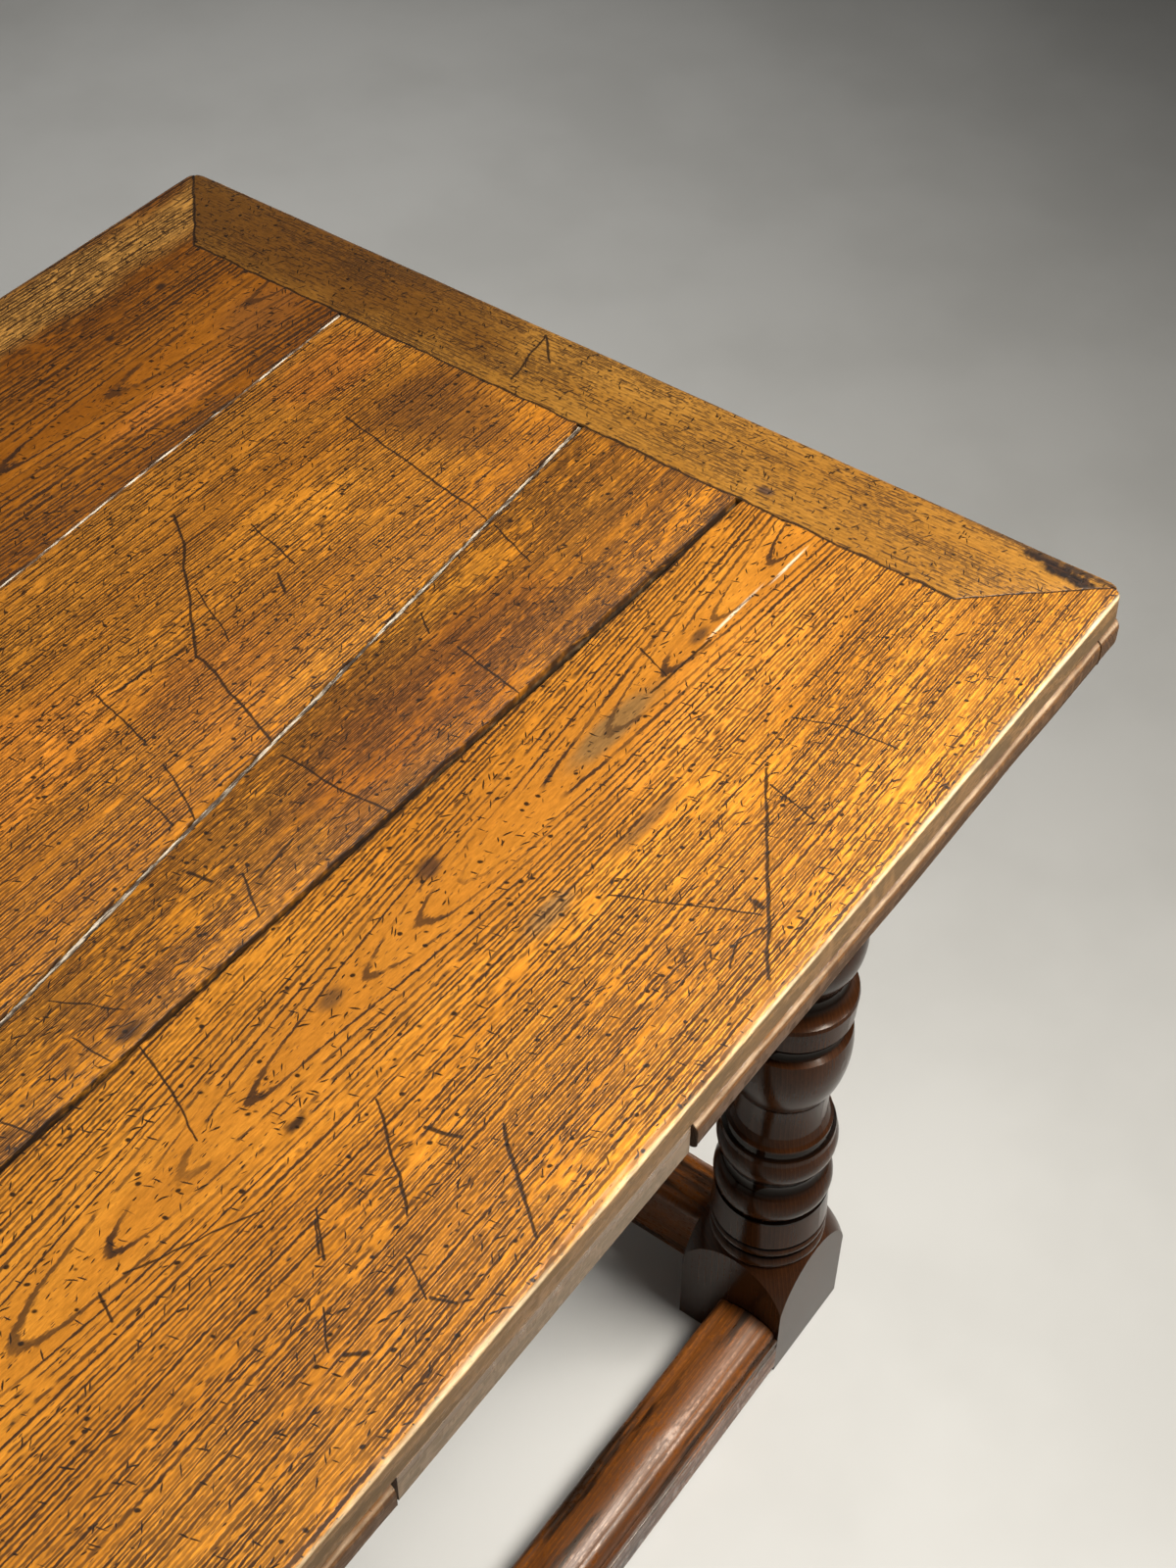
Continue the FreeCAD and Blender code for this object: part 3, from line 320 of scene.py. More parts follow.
def makeOakFigure(look):
    tree, given, result = newGroup("oakFigure", [
        ("Vector", arrow, None), ("PithY", number, 0.0), ("PithZ", number, 0.5), ("LeanY", number, 0.0),
        ("LeanZ", number, 0.0), ("Ring", number, 0.004), ("Waver", number, 0.004),
        ("RowWidth", number, 0.001), ("DashRun", number, 100.0), ("Broken", number, 0.45),
        ("Uneven", number, 0.5), ("FineWidth", number, 0.7), ("Seed", number, 0.0)],
        ["Rows", "Shade", "Mottle", "Fibre"])
    shift = combine(tree, *[times(tree, given["Seed"], factor) for factor in look["seedShift"]])
    spot = vecCalc(tree, "ADD", given["Vector"], shift)
    place = split(tree, given["Vector"])

    # the wavering distance from the pith, counted in rings
    across = minus(tree, place["Y"], given["PithY"])
    across = minus(tree, across, times(tree, given["LeanY"], place["X"]))
    deep = minus(tree, place["Z"], given["PithZ"])
    deep = minus(tree, deep, times(tree, given["LeanZ"], place["X"]))
    radius = calc(tree, "ADD", times(tree, across, across), times(tree, deep, deep))
    radius = calc(tree, "SQRT", radius)
    steep = calc(tree, "DIVIDE", calc(tree, "ABSOLUTE", across), radius)
    steep = calc(tree, "MAXIMUM", steep, look["flattest"])
    jitter = times(tree, steep, given["Ring"])
    slow = minus(tree, grain(tree, spot, look["slow"], 2), 0.5)
    radius = calc(tree, "MULTIPLY_ADD", slow, times(tree, given["Waver"], look["slowSway"]), radius)
    quick = minus(tree, grain(tree, spot, look["quick"], 3), 0.5)
    radius = calc(tree, "MULTIPLY_ADD", quick, times(tree, jitter, look["quickSway"]), radius)
    grit = minus(tree, grain(tree, spot, look["grit"], 2, 0.6), 0.5)
    radius = calc(tree, "MULTIPLY_ADD", grit, times(tree, jitter, look["gritSway"]), radius)
    turns = calc(tree, "DIVIDE", radius, given["Ring"])
    years = tree.nodes.new("ShaderNodeTexNoise")
    years.noise_dimensions = "1D"
    years.inputs["Scale"].default_value = 1
    feed(tree, years.inputs["W"], times(tree, turns, look["yearRun"]))
    turns = calc(tree, "MULTIPLY_ADD", years.outputs["Fac"], given["Uneven"], turns)
    phase = calc(tree, "FRACT", turns)

    def rowLine(away, wide):
        start, stop = look["rowEdge"]
        return easeOff(tree, away, times(tree, wide, start), times(tree, wide, stop))

    def rowNoise(run, offset, step, detail):
        row = calc(tree, "FLOOR", calc(tree, "ADD", turns, offset))
        rowSpot = combine(tree, times(tree, place["X"], run), times(tree, row, step), given["Seed"])
        return cloud(tree, rowSpot, 1, detail)

    # a row in the middle of each ring and a finer one between two rings, both broken into dashes
    side = calc(tree, "ABSOLUTE", minus(tree, phase, 0.5))
    share = calc(tree, "DIVIDE", times(tree, given["RowWidth"], steep), given["Ring"])
    ragged = grain(tree, spot, look["ragged"], 1)
    share = times(tree, share, calc(tree, "MULTIPLY_ADD", ragged, *look["raggedSpan"]))
    region = grain(tree, spot, look["region"], 2)
    broken = calc(tree, "MULTIPLY_ADD", minus(tree, 0.5, region), look["regionDepth"], given["Broken"])
    dash = rowNoise(given["DashRun"], 0.0, look["dashStep"], 1)
    dash = ease(tree, dash, broken, calc(tree, "ADD", broken, look["dashSoft"]))
    rows = times(tree, rowLine(side, share), dash)
    fineDash = rowNoise(times(tree, given["DashRun"], look["fineRun"]), 0.5, look["fineStep"], 1)
    fineStart = calc(tree, "ADD", broken, look["fineFrom"])
    fineDash = ease(tree, fineDash, fineStart, calc(tree, "ADD", broken, look["fineTo"]))
    fine = rowLine(minus(tree, 0.5, side), times(tree, share, given["FineWidth"]))
    fine = times(tree, times(tree, fine, fineDash), look["fineDepth"])
    rows = calc(tree, "MAXIMUM", rows, fine)
    bold = ease(tree, rowNoise(look["boldRun"], 0.25, look["boldStep"], 2), *look["boldEdge"])
    rows = times(tree, rows, calc(tree, "MULTIPLY_ADD", bold, *look["boldSpan"]))

    pores = cells(tree, vecCalc(tree, "MULTIPLY", spot, look["pores"]), 1)
    speck = easeOff(tree, pores["Distance"], *look["poreEdge"])
    chosen = calc(tree, "LESS_THAN", pores["Color"], times(tree, region, look["poreShare"]))
    speck = times(tree, times(tree, speck, chosen), look["poreDepth"])
    feed(tree, result["Rows"], calc(tree, "MAXIMUM", rows, speck))
    feed(tree, result["Shade"], easeOff(tree, phase, *look["shade"]))
    feed(tree, result["Mottle"], grain(tree, spot, look["mottle"], 5, 0.62))
    feed(tree, result["Fibre"], grain(tree, spot, look["fibre"], 4, 0.7))
    return tree


# the wander of a hand along a cut, shared by all the marks of a board
wanderLook = {"scale": 45, "nudge": (0.005, 0.005, 0.0), "biteScale": 160, "biteSpan": (1.7, 0.2)}


def makeHandWander(look):
    tree, given, result = newGroup("handWander", [("Vector", arrow, None)], ["Across", "Along", "Bite"])
    nudge = vecCalc(tree, "MULTIPLY", push(tree, given["Vector"], look["scale"], 2), look["nudge"])
    place = split(tree, vecCalc(tree, "ADD", given["Vector"], nudge))
    bite = cloud(tree, given["Vector"], look["biteScale"], 1)
    feed(tree, result["Across"], place["Y"])
    feed(tree, result["Along"], place["X"])
    feed(tree, result["Bite"], calc(tree, "MULTIPLY_ADD", bite, *look["biteSpan"]))
    return tree


# one straight cut, seen from above: its slant, its place along and across that slant, and half its run
markCore = 0.3  # share of its width that is cut to the full depth


def makeKnifeMark():
    tree, given, result = newGroup("knifeMark", [
        ("Along", number, 0.0), ("Across", number, 0.0), ("Bite", number, 1.0), ("Cos", number, 1.0),
        ("Sin", number, 0.0), ("RunPlace", number, 0.0), ("SidePlace", number, 0.0),
        ("HalfRun", number, 0.01), ("Width", number, 0.0008)],
        ["Mark"])
    run = calc(tree, "MULTIPLY_ADD", given["Across"], given["Sin"], times(tree, given["RunPlace"], -1.0))
    run = calc(tree, "MULTIPLY_ADD", given["Along"], given["Cos"], run)
    side = calc(tree, "MULTIPLY_ADD", given["Across"], given["Cos"], times(tree, given["SidePlace"], -1.0))
    side = calc(tree, "MULTIPLY_ADD", given["Along"], times(tree, given["Sin"], -1.0), side)
    past = calc(tree, "MAXIMUM", minus(tree, calc(tree, "ABSOLUTE", run), given["HalfRun"]), 0.0)
    gap = calc(tree, "SQRT", calc(tree, "MULTIPLY_ADD", past, past, times(tree, side, side)))
    reach = times(tree, given["Width"], given["Bite"])
    feed(tree, result["Mark"], easeOff(tree, gap, times(tree, reach, markCore), reach))
    return tree


# a ragged oval patch, such as a stain or a knot
stainLook = {"stretch": (0.5, 1, 1), "swing": 2.0, "edge": (0.35, 1.0)}


def makeStainSpot(look):
    tree, given, result = newGroup("stainSpot", [
        ("Vector", arrow, None), ("Centre", arrow, (0, 0, 0)), ("Reach", arrow, (0.05, 0.02, 0.02)),
        ("Ragged", number, 0.5), ("Grit", number, 30.0)],
        ["Stain"])
    offset = vecCalc(tree, "SUBTRACT", given["Vector"], given["Centre"])
    away = vecCalc(tree, "LENGTH", vecCalc(tree, "DIVIDE", offset, given["Reach"]), None, "Value")
    ragged = cloud(tree, vecCalc(tree, "MULTIPLY", given["Vector"], look["stretch"]), given["Grit"], 4)
    swing = times(tree, given["Ragged"], look["swing"])
    away = calc(tree, "MULTIPLY_ADD", minus(tree, ragged, 0.5), swing, away)
    feed(tree, result["Stain"], easeOff(tree, away, *look["edge"]))
    return tree


# nicks and dark flecks, strewn in layers of a slant in degrees and of cells per metre along and across it
nickLook = {
    "layers": ((25, 60, 420), (-38, 75, 520), (72, 70, 480), (4, 130, 560), (-9, 100, 430), (48, 150, 190)),
    "bendScale": 70, "bend": 0.005, "edge": (0.16, 0.32), "share": 0.5,
}


def makeNicks(look):
    tree, given, result = newGroup("strewnNicks", [
        ("Vector", arrow, None), ("Seed", number, 0.0), ("Amount", number, 0.3)], ["Nicks"])
    bend = vecCalc(tree, "SCALE", push(tree, given["Vector"], look["bendScale"], 1), look["bend"])
    bent = vecCalc(tree, "ADD", given["Vector"], bend)
    shift = combine(tree, given["Seed"])
    limit = times(tree, given["Amount"], look["share"])
    layers = []
    for slant, run, row in look["layers"]:
        spread = vecCalc(tree, "MULTIPLY", turned(tree, bent, (0, 0, slant)), (run, row, row))
        fleck = cells(tree, vecCalc(tree, "ADD", spread, shift), 1)
        inside = easeOff(tree, fleck["Distance"], *look["edge"])
        layers.append(times(tree, inside, calc(tree, "LESS_THAN", fleck["Color"], limit)))
    feed(tree, result["Nicks"], strongest(tree, layers))
    return tree


# how near a point is to the outer border of a board, and whether it is on its side; on the top the Rub band
# along the upper edge gets pale wear with a painted highlight
borderLook = {"ragged": (24, 24, 90), "rubCore": 0.2, "dropCore": 0.6}


def makeBorder(look):
    tree, given, result = newGroup("boardBorder", [
        ("Vector", arrow, None), ("HalfX", number, 0.6), ("HalfY", number, 0.4), ("Upper", number, 0.77),
        ("RubWidth", number, 0.008), ("SideDrop", number, 0.006)],
        ["Rub", "Side"])
    place = split(tree, given["Vector"])
    endGap = minus(tree, given["HalfX"], calc(tree, "ABSOLUTE", place["X"]))
    sideGap = minus(tree, given["HalfY"], calc(tree, "ABSOLUTE", place["Y"]))
    gap = calc(tree, "MINIMUM", endGap, sideGap)
    below = minus(tree, given["Upper"], place["Z"])
    ragged = grain(tree, given["Vector"], look["ragged"], 3)
    gap = calc(tree, "MULTIPLY_ADD", minus(tree, ragged, 0.5), given["RubWidth"], gap)
    near = easeOff(tree, gap, times(tree, given["RubWidth"], look["rubCore"]), given["RubWidth"])
    high = easeOff(tree, below, times(tree, given["SideDrop"], look["dropCore"]), given["SideDrop"])
    feed(tree, result["Rub"], times(tree, near, high))
    feed(tree, result["Side"], minus(tree, 1.0, high))
    return tree


oakFigure = makeOakFigure(figureLook)
handWander = makeHandWander(wanderLook)
knifeMark = makeKnifeMark()
stainSpot = makeStainSpot(stainLook)
strewnNicks = makeNicks(nickLook)
boardBorder = makeBorder(borderLook)
print("shared node groups made")

stainDeep = 9 * mm
bandCore = 0.4  # share of a band's half width that is fully dark


# a patch on the top, with its place and reach in millimetres
def stain(at, reach, tone, depth, ragged=0.5, grit=30.0):
    return {"at": (at[0] * mm, at[1] * mm, topHigh), "reach": (reach[0] * mm, reach[1] * mm, stainDeep),
            "tone": tone, "depth": depth, "ragged": ragged, "grit": grit}


# painted shade: dark bands in the coves of a turned leg, as heights and half widths in millimetres
def darkBands(tree, place, bands):
    upright = split(tree, place)["Z"]
    masks = []
    for high, half in bands:
        away = calc(tree, "ABSOLUTE", minus(tree, upright, high * mm))
        masks.append(easeOff(tree, away, half * mm * bandCore, half * mm))
    return strongest(tree, masks)


# the slant and place of a cut whose ends are given in millimetres
def markSetting(start, end):
    slant = math.atan2(end[1] - start[1], end[0] - start[0])
    cos, sin = math.cos(slant), math.sin(slant)
    midX, midY = (start[0] + end[0]) * mm / 2, (start[1] + end[1]) * mm / 2
    return {"Cos": cos, "Sin": sin, "RunPlace": midX * cos + midY * sin, "SidePlace": midY * cos - midX * sin,
            "HalfRun": math.dist(start, end) * mm / 2}


def knifeCuts(tree, place, marks):
    hand = useGroup(tree, handWander, Vector=place)
    masks = []
    for start, end, width in marks:
        mark = useGroup(tree, knifeMark, Along=hand["Along"], Across=hand["Across"], Bite=hand["Bite"],
                        **markSetting(start, end), Width=width * mm)
        masks.append(mark["Mark"])
    return strongest(tree, masks)


# oak finish for boards of the top, the leaves and the frame
finishLook = {
    "mottle": (0.3, 0.7), "streak": (0.5, 0.62), "fibreSpan": (2.4, -0.2),
    "nickDepth": 0.95, "bandDepth": 0.92, "cutDepth": 0.9,
    "rowHeight": -0.8, "fibreHeight": 0.35, "nickHeight": -0.6, "cutHeight": -1.2, "bumpReach": 0.0006,
    "rubRough": -0.3, "bandRough": -0.6,
}


def oakFinish(name, look):
    material, tree, shader, place = newFinish(name)
    along = turned(tree, place, look["turn"]) if look["turn"] else place
    pithY, pithZ = look["pith"]
    leanY, leanZ = look["lean"]
    figure = useGroup(tree, oakFigure, Vector=along, PithY=pithY, PithZ=pithZ, LeanY=leanY, LeanZ=leanZ,
                      Ring=look["ring"], Waver=look["waver"], RowWidth=look["rowWidth"],
                      DashRun=look["dashRun"], Broken=look["broken"], Uneven=look["uneven"],
                      FineWidth=look["fineWidth"], Seed=look["seed"])
    tone = mixTone(tree, ease(tree, figure["Mottle"], *finishLook["mottle"]), look["dark"], look["light"])
    tone = layTone(tree, tone, figure["Shade"], look["shadeDepth"], look["shadeTone"])
    for patch in look["patches"]:
        mask = useGroup(tree, stainSpot, Vector=place, Centre=patch["at"], Reach=patch["reach"],
                        Ragged=patch["ragged"], Grit=patch["grit"])["Stain"]
        tone = layTone(tree, tone, mask, patch["depth"], patch["tone"])
    tone = layTone(tree, tone, figure["Rows"], look["rowDepth"], look["rowTone"])
    if look["streak"]:
        run = grain(tree, along, look["streak"]["scale"], 5, 0.62)
        run = ease(tree, run, *finishLook["streak"])
        tone = layTone(tree, tone, run, look["streak"]["depth"], look["streak"]["tone"])
    height = times(tree, figure["Rows"], finishLook["rowHeight"])
    height = calc(tree, "MULTIPLY_ADD", figure["Fibre"], finishLook["fibreHeight"], height)
    gloss = calc(tree, "MULTIPLY_ADD", figure["Mottle"], look["roughSpread"], look["rough"])
    gloss = calc(tree, "MULTIPLY_ADD", figure["Rows"], look["rowRough"], gloss, clamp=True)
    nicks = useGroup(tree, strewnNicks, Vector=place, Seed=look["seed"], Amount=look["nicks"])["Nicks"]
    tone = layTone(tree, tone, nicks, finishLook["nickDepth"], look["markTone"])
    height = calc(tree, "MULTIPLY_ADD", nicks, finishLook["nickHeight"], height)
    if look["border"]:
        border = useGroup(tree, boardBorder, Vector=place, **look["border"])
        tone = layTone(tree, tone, border["Side"], look["sideDepth"], look["sideTone"])
        # along the upper edge: on the top pale rubbed wood with a painted highlight, on the leaves a dark
        # brown band
        tone = layTone(tree, tone, border["Rub"], look["rubDepth"], look["edgeBandTone"])
        gloss = calc(tree, "MULTIPLY_ADD", border["Rub"], finishLook["rubRough"], gloss, clamp=True)
    # a thin pale line on the leaf's arris: rubbed wood with a painted highlight
    if look["arris"]:
        line = useGroup(tree, boardBorder, Vector=place, **{**look["border"], **look["arris"]})["Rub"]
        tone = layTone(tree, tone, line, look["arrisDepth"], look["arrisWearAndHighlightTone"])
    fibre = calc(tree, "MULTIPLY_ADD", figure["Fibre"], *finishLook["fibreSpan"])
    tone = mixTone(tree, look["fibreDepth"], tone, fibre, "MULTIPLY")
    # painted shade in the coves of turned legs, with a glossier finish there
    if look["bands"]:
        bands = darkBands(tree, place, look["bands"])
        tone = layTone(tree, tone, bands, finishLook["bandDepth"], look["coveShadeTone"])
        gloss = times(tree, gloss, calc(tree, "MULTIPLY_ADD", bands, finishLook["bandRough"], 1.0))
    if look["marks"]:
        cuts = knifeCuts(tree, place, look["marks"])
        tone = layTone(tree, tone, cuts, finishLook["cutDepth"], look["markTone"])
        height = calc(tree, "MULTIPLY_ADD", cuts, finishLook["cutHeight"], height)
    feed(tree, shader["Base Color"], tone)
    feed(tree, shader["Roughness"], gloss)
    bump = tree.nodes.new("ShaderNodeBump")
    bump.inputs["Strength"].default_value = look["bump"]
    bump.inputs["Distance"].default_value = finishLook["bumpReach"]
    feed(tree, bump.inputs["Height"], height)
    feed(tree, shader["Normal"], bump.outputs["Normal"])
    shader["Specular IOR Level"].default_value = look["specular"]
    shader["Specular Tint"].default_value = (*look["sheen"], 1)
    shader["Coat Weight"].default_value = look["coat"]
    shader["Coat Roughness"].default_value = look["coatRough"]
    return material


# cuts from point to point, all of one width, in millimetres
def joined(points, width):
    return [(a, b, width) for a, b in zip(points, points[1:])]


# the seams of the top, as the places of their far and near ends in millimetres
seams = {"left": (187, 140), "middle": (-26, -118), "right": (-155, -136)}
seamGrime = {"left": 1.8, "middle": 2.6, "right": 3.4}  # widths of the dark lines
clampLine = clampInner / mm
leftMitre = [(clampLine, 329), (609, 399)]
rightMitre = [(clampLine, -317), (609, -399)]


def seamLine(name):
    far, near = seams[name]
    return joined([(clampLine, far), (-clampLine, near)], seamGrime[name])


seamLines = {name: seamLine(name) for name in seams}
seamLines["right"] += joined([(520, -154.7), (120, -147.7)], 4.4)
seamLines["right"] += joined([(460, -153.6), (300, -150.9)], 5.4)
frameJoints = joined([leftMitre[0], rightMitre[0]], 1.5) + joined(leftMitre, 1.5) + joined(rightMitre, 1.1)

# what all boards start from; each then has its own tones, and those of the top their stains and cuts
topBoard = {
    "turn": None, "lean": (0.0, 0.02), "rowWidth": 0.0017, "dashRun": 90.0, "broken": 0.3, "uneven": 0.5,
    "fineWidth": 0.9, "rowDepth": 0.97, "shadeDepth": 0.4, "fibreDepth": 0.6, "nicks": 0.45,
    "rowTone": (0.03, 0.011, 0.003), "markTone": (0.012, 0.006, 0.003),
    "rough": 0.33, "roughSpread": 0.16, "rowRough": 0.25, "bump": 0.35,
    "specular": 0.22, "sheen": (1, 1, 1), "coat": 0.0, "coatRough": 0.22,
    "border": {"HalfX": halfLength, "HalfY": halfWidth, "Upper": topHigh,
               "RubWidth": 0.0032, "SideDrop": 0.0055},
    # the top's upper arris: pale rubbed wood with a painted highlight
    "sideTone": (0.145, 0.09, 0.042), "sideDepth": 0.85, "edgeBandTone": (0.88, 0.69, 0.43), "rubDepth": 0.72,
    "arris": None, "streak": None, "patches": (), "bands": (), "marks": (),
}

rightBoard = {
    **topBoard, "pith": (-0.215, topHigh - 0.055), "lean": (0.02, 0.035), "ring": 0.0039, "waver": 0.004,
    "seed": 1.0, "light": (0.645, 0.264, 0.026), "dark": (0.4, 0.144, 0.012),
    "shadeTone": (0.33, 0.11, 0.009), "rowWidth": 0.00152, "dashRun": 34.0, "broken": 0.21, "uneven": 0.9,
    "patches": [
        stain((200, -215), (520, 60), (0.31, 0.112, 0.012), 0.75, ragged=0.4),
        stain((500, -216.5), (27, 1.5), (0.7, 0.55, 0.37), 0.85, ragged=0.3),
        stain((442, -213), (36, 1.5), (0.7, 0.55, 0.37), 0.85, ragged=0.3),
        stain((318, -211), (60, 12), (0.12, 0.075, 0.03), 0.75),
        stain((180, -266), (30, 10), (0.16, 0.11, 0.05), 0.6),
        stain((266, -270), (45, 8), (0.1, 0.05, 0.02), 0.7),
        stain((164, -191), (13, 9), (0.07, 0.03, 0.012), 0.95, grit=90),
        stain((61, -207), (16, 8), (0.1, 0.045, 0.015), 0.85, grit=90),
        stain((-11, -245), (9, 4), (0.03, 0.015, 0.008), 0.95, grit=120),
        stain((411, -207), (16, 5), (0.08, 0.035, 0.012), 0.9, grit=80),
        stain((400, -250), (150, 40), (0.66, 0.25, 0.03), 0.5, ragged=0.3),
        stain((-60, -360), (120, 50), (0.4, 0.15, 0.02), 0.25),
    ],
    "marks": (
        joined([(341, -302), (211, -388)], 1.6) + joined([(386, -292), (398, -321), (400, -355)], 0.9)
        + joined([(208, -284), (224, -316), (246, -360)], 1.0) + joined([(252, -352), (251, -358)], 3.0)
        + joined([(411, -215), (352, -212)], 1.2) + joined([(380, -184), (369, -211)], 0.9)
        + joined([(332, -311), (324, -346)], 0.9) + joined([(206, -366), (223, -360), (238, -365)], 1.0)
        + joined([(25, -268), (0, -303), (-19, -324)], 1.2) + joined([(26, -299), (33, -317)], 2.0)
        + joined([(52, -330), (29, -358), (9, -383)], 1.5) + joined([(-43, -285), (-63, -308)], 1.1)
        + joined([(-22, -146), (-32, -177), (-48, -211)], 1.0) + joined([(-59, -265), (-126, -235)], 0.9)
        + joined([(-141, -233), (-148, -248)], 1.3) + joined([(-48, -289), (-62, -304)], 1.0)
        + joined([(-38, -340), (-49, -361)], 0.9) + joined([(-47, -362), (-43, -374)], 1.6)
        + joined([(-95, -349), (-88, -357)], 1.9) + joined([(-83, -325), (-99, -342)], 0.9)
        + joined([(-56, -345), (-57, -346)], 3.2) + seamLines["right"] + frameJoints),
}

wedgeBoard = {
    **topBoard, "pith": (0.5, topHigh - 0.25), "ring": 0.0022, "waver": 0.002, "seed": 7.0,
    "light": (0.57, 0.23, 0.02), "dark": (0.335, 0.113, 0.008), "shadeTone": (0.24, 0.076, 0.006),
    "rowWidth": 0.00112, "dashRun": 45.0, "broken": 0.25,
    "patches": [
        stain((265, -105), (170, 55), (0.2, 0.055, 0.008), 0.75, ragged=0.4),
        stain((-19, -136), (14, 9), (0.03, 0.015, 0.008), 0.95, grit=90),
    ],
    "marks": (joined([(181, -67), (180, -110), (183, -146)], 1.1) + joined([(418, -42), (403, -81)], 1.0)
              + joined([(324, -56), (313, -72)], 1.0) + joined([(314, -93), (304, -149)], 1.1)
              + joined([(135, -116), (102, -120)], 1.3) + joined([(98, -110), (81, -138)], 1.0)
              + joined([(-40, -115), (-39, -141)], 0.9) + joined([(-29, -87), (-10, -123)], 0.8)
              + joined([(-99, -123), (-89, -171)], 1.0) + joined([(81, -85), (84, -100)], 1.5)
              + seamLines["right"] + seamLines["middle"] + frameJoints),
}

middleBoard = {
    **topBoard, "pith": (0.42, topHigh - 0.12), "ring": 0.0041, "waver": 0.003, "seed": 3.0,
    "light": (0.7, 0.287, 0.028), "dark": (0.385, 0.137, 0.012), "shadeTone": (0.31, 0.106, 0.008),
    "rowWidth": 0.00148, "dashRun": 36.0, "broken": 0.23,
    "patches": [
        stain((489, 59), (60, 70), (0.14, 0.05, 0.01), 0.75, ragged=0.4),
        stain((480, 150), (70, 40), (0.4, 0.11, 0.012), 0.55),
        stain((60, 60), (140, 60), (0.56, 0.18, 0.02), 0.5),
        stain((200, 0), (90, 60), (0.32, 0.1, 0.014), 0.5),
    ],
    "marks": (joined([(302, 132), (285, 109), (253, 75), (213, 30), (213, 24), (186, -54), (181, -67)], 1.5)
              + joined([(446, 107), (419, -35)], 1.2) + joined([(324, 85), (313, 37)], 1.0)
              + joined([(299, 40), (288, 26)], 1.3) + joined([(151, 54), (141, 4)], 0.9)
              + joined([(134, -17), (117, -54), (96, -88)], 1.0) + joined([(108, -26), (102, -54)], 0.9)
              + joined([(258, 72), (234, 22)], 0.8) + joined([(156, 49), (215, 40)], 1.4)
              + seamLines["middle"] + seamLines["left"] + frameJoints),
}

# the left plank is kept darker partly for its own browner oak and partly as painted shade for the fall of
# light toward the left of the top
leftBoard = {
    **topBoard, "pith": (0.262, topHigh - 0.05), "lean": (-0.03, 0.03), "ring": 0.0052, "waver": 0.006,
    "seed": 5.0, "light": (0.325, 0.112, 0.009), "dark": (0.16, 0.045, 0.003),
    "shadeTone": (0.12, 0.036, 0.003), "rowWidth": 0.0021, "dashRun": 36.0, "broken": 0.26, "uneven": 1.0,
    "patches": [
        stain((500, 230), (60, 35), (0.17, 0.06, 0.012), 0.7, ragged=0.4),
        stain((400, 215), (80, 18), (0.46, 0.15, 0.018), 0.6),
        stain((482, 313), (7, 4), (0.03, 0.015, 0.008), 0.95, grit=120),
        stain((414, 299), (5, 4), (0.03, 0.015, 0.008), 0.95, grit=120),
        stain((420, 368), (330, 38), (0.62, 0.32, 0.072), 0.6, ragged=0.6),
    ],
    "marks": seamLines["left"] + frameJoints,
}

clampBoard = {
    **topBoard, "turn": (0, 0, 90), "pith": (0.2, topHigh - 0.3), "lean": (0.0, 0.0), "ring": 0.0024,
    "waver": 0.004, "seed": 11.0, "light": (0.375, 0.18, 0.03), "dark": (0.225, 0.094, 0.012),
    "shadeTone": (0.16, 0.062, 0.009), "rowWidth": 0.0012, "dashRun": 120.0, "broken": 0.4,
    "nicks": 0.42, "rowDepth": 0.85,
    "patches": [
        stain((601, -343), (6.5, 21), (0.01, 0.008, 0.008), 0.97, ragged=0.7, grit=150),
        stain((597, -360), (8, 21), (0.01, 0.008, 0.008), 0.97, ragged=0.8, grit=150),
        stain((595, -374), (8, 17), (0.01, 0.008, 0.008), 0.97, ragged=0.8, grit=150),
        stain((604, -372), (4, 24), (0.02, 0.015, 0.012), 0.9, ragged=0.9, grit=150),
        stain((606, -325), (4, 56), (0.06, 0.034, 0.016), 0.7, grit=90),
        stain((551, -164), (6, 9), (0.05, 0.03, 0.025), 0.85, grit=80),
        stain((580, 270), (70, 280), (0.11, 0.042, 0.007), 0.88, ragged=0.4),
    ],
    "marks": joined([(547, 43), (601, 54), (578, 33)], 1.3) + frameJoints,
}

topLooks = {
    "top_plank_right": rightBoard, "top_plank_wedge": wedgeBoard, "top_plank_middle": middleBoard,
    "top_plank_left": leftBoard, "top_clamp_far": clampBoard, "top_clamp_near": {**clampBoard, "seed": 17.0},
}

# working copies and their wear
alongTop = (1, 0, 0)
acrossTop = (0, 1, 0)
copyLook = {"weld": 0.000002, "flat": 0.5}  # metres, degrees


# the name of a piece, from that of its node
def pieceName(node):
    first, *rest = node.split("_")
    return first + "".join(word.capitalize() for word in rest)


def cutAcross(direction, places):
    for spot in places:
        bpy.ops.mesh.select_all(action="SELECT")
        bpy.ops.mesh.bisect(plane_co=Vector(direction) * spot, plane_no=direction)


# a merged copy of a CAD node, cut across so that its edges can wear
def workingCopy(node, cuts):
    mesh = frame["nodes"][node].data.copy()
    piece = bpy.data.objects.new(pieceName(node), mesh)
    bpy.context.scene.collection.objects.link(piece)
    focusOn(piece)
    bpy.ops.object.mode_set(mode="EDIT")
    bpy.ops.mesh.select_all(action="SELECT")
    bpy.ops.mesh.customdata_custom_splitnormals_clear()
    bpy.ops.mesh.remove_doubles(threshold=copyLook["weld"])
    bpy.ops.mesh.dissolve_limited(angle_limit=math.radians(copyLook["flat"]))
    for direction, places in cuts:
        cutAcross(direction, places)
    bpy.ops.object.mode_set(mode="OBJECT")
    mesh.materials.clear()
    return piece


def evenly(low, high, step):
    count = max(1, round((high - low) / step))
    return [low + (high - low) * (index + 0.5) / count for index in range(count)]


bevelLook = {"angle": 40, "segments": 2}


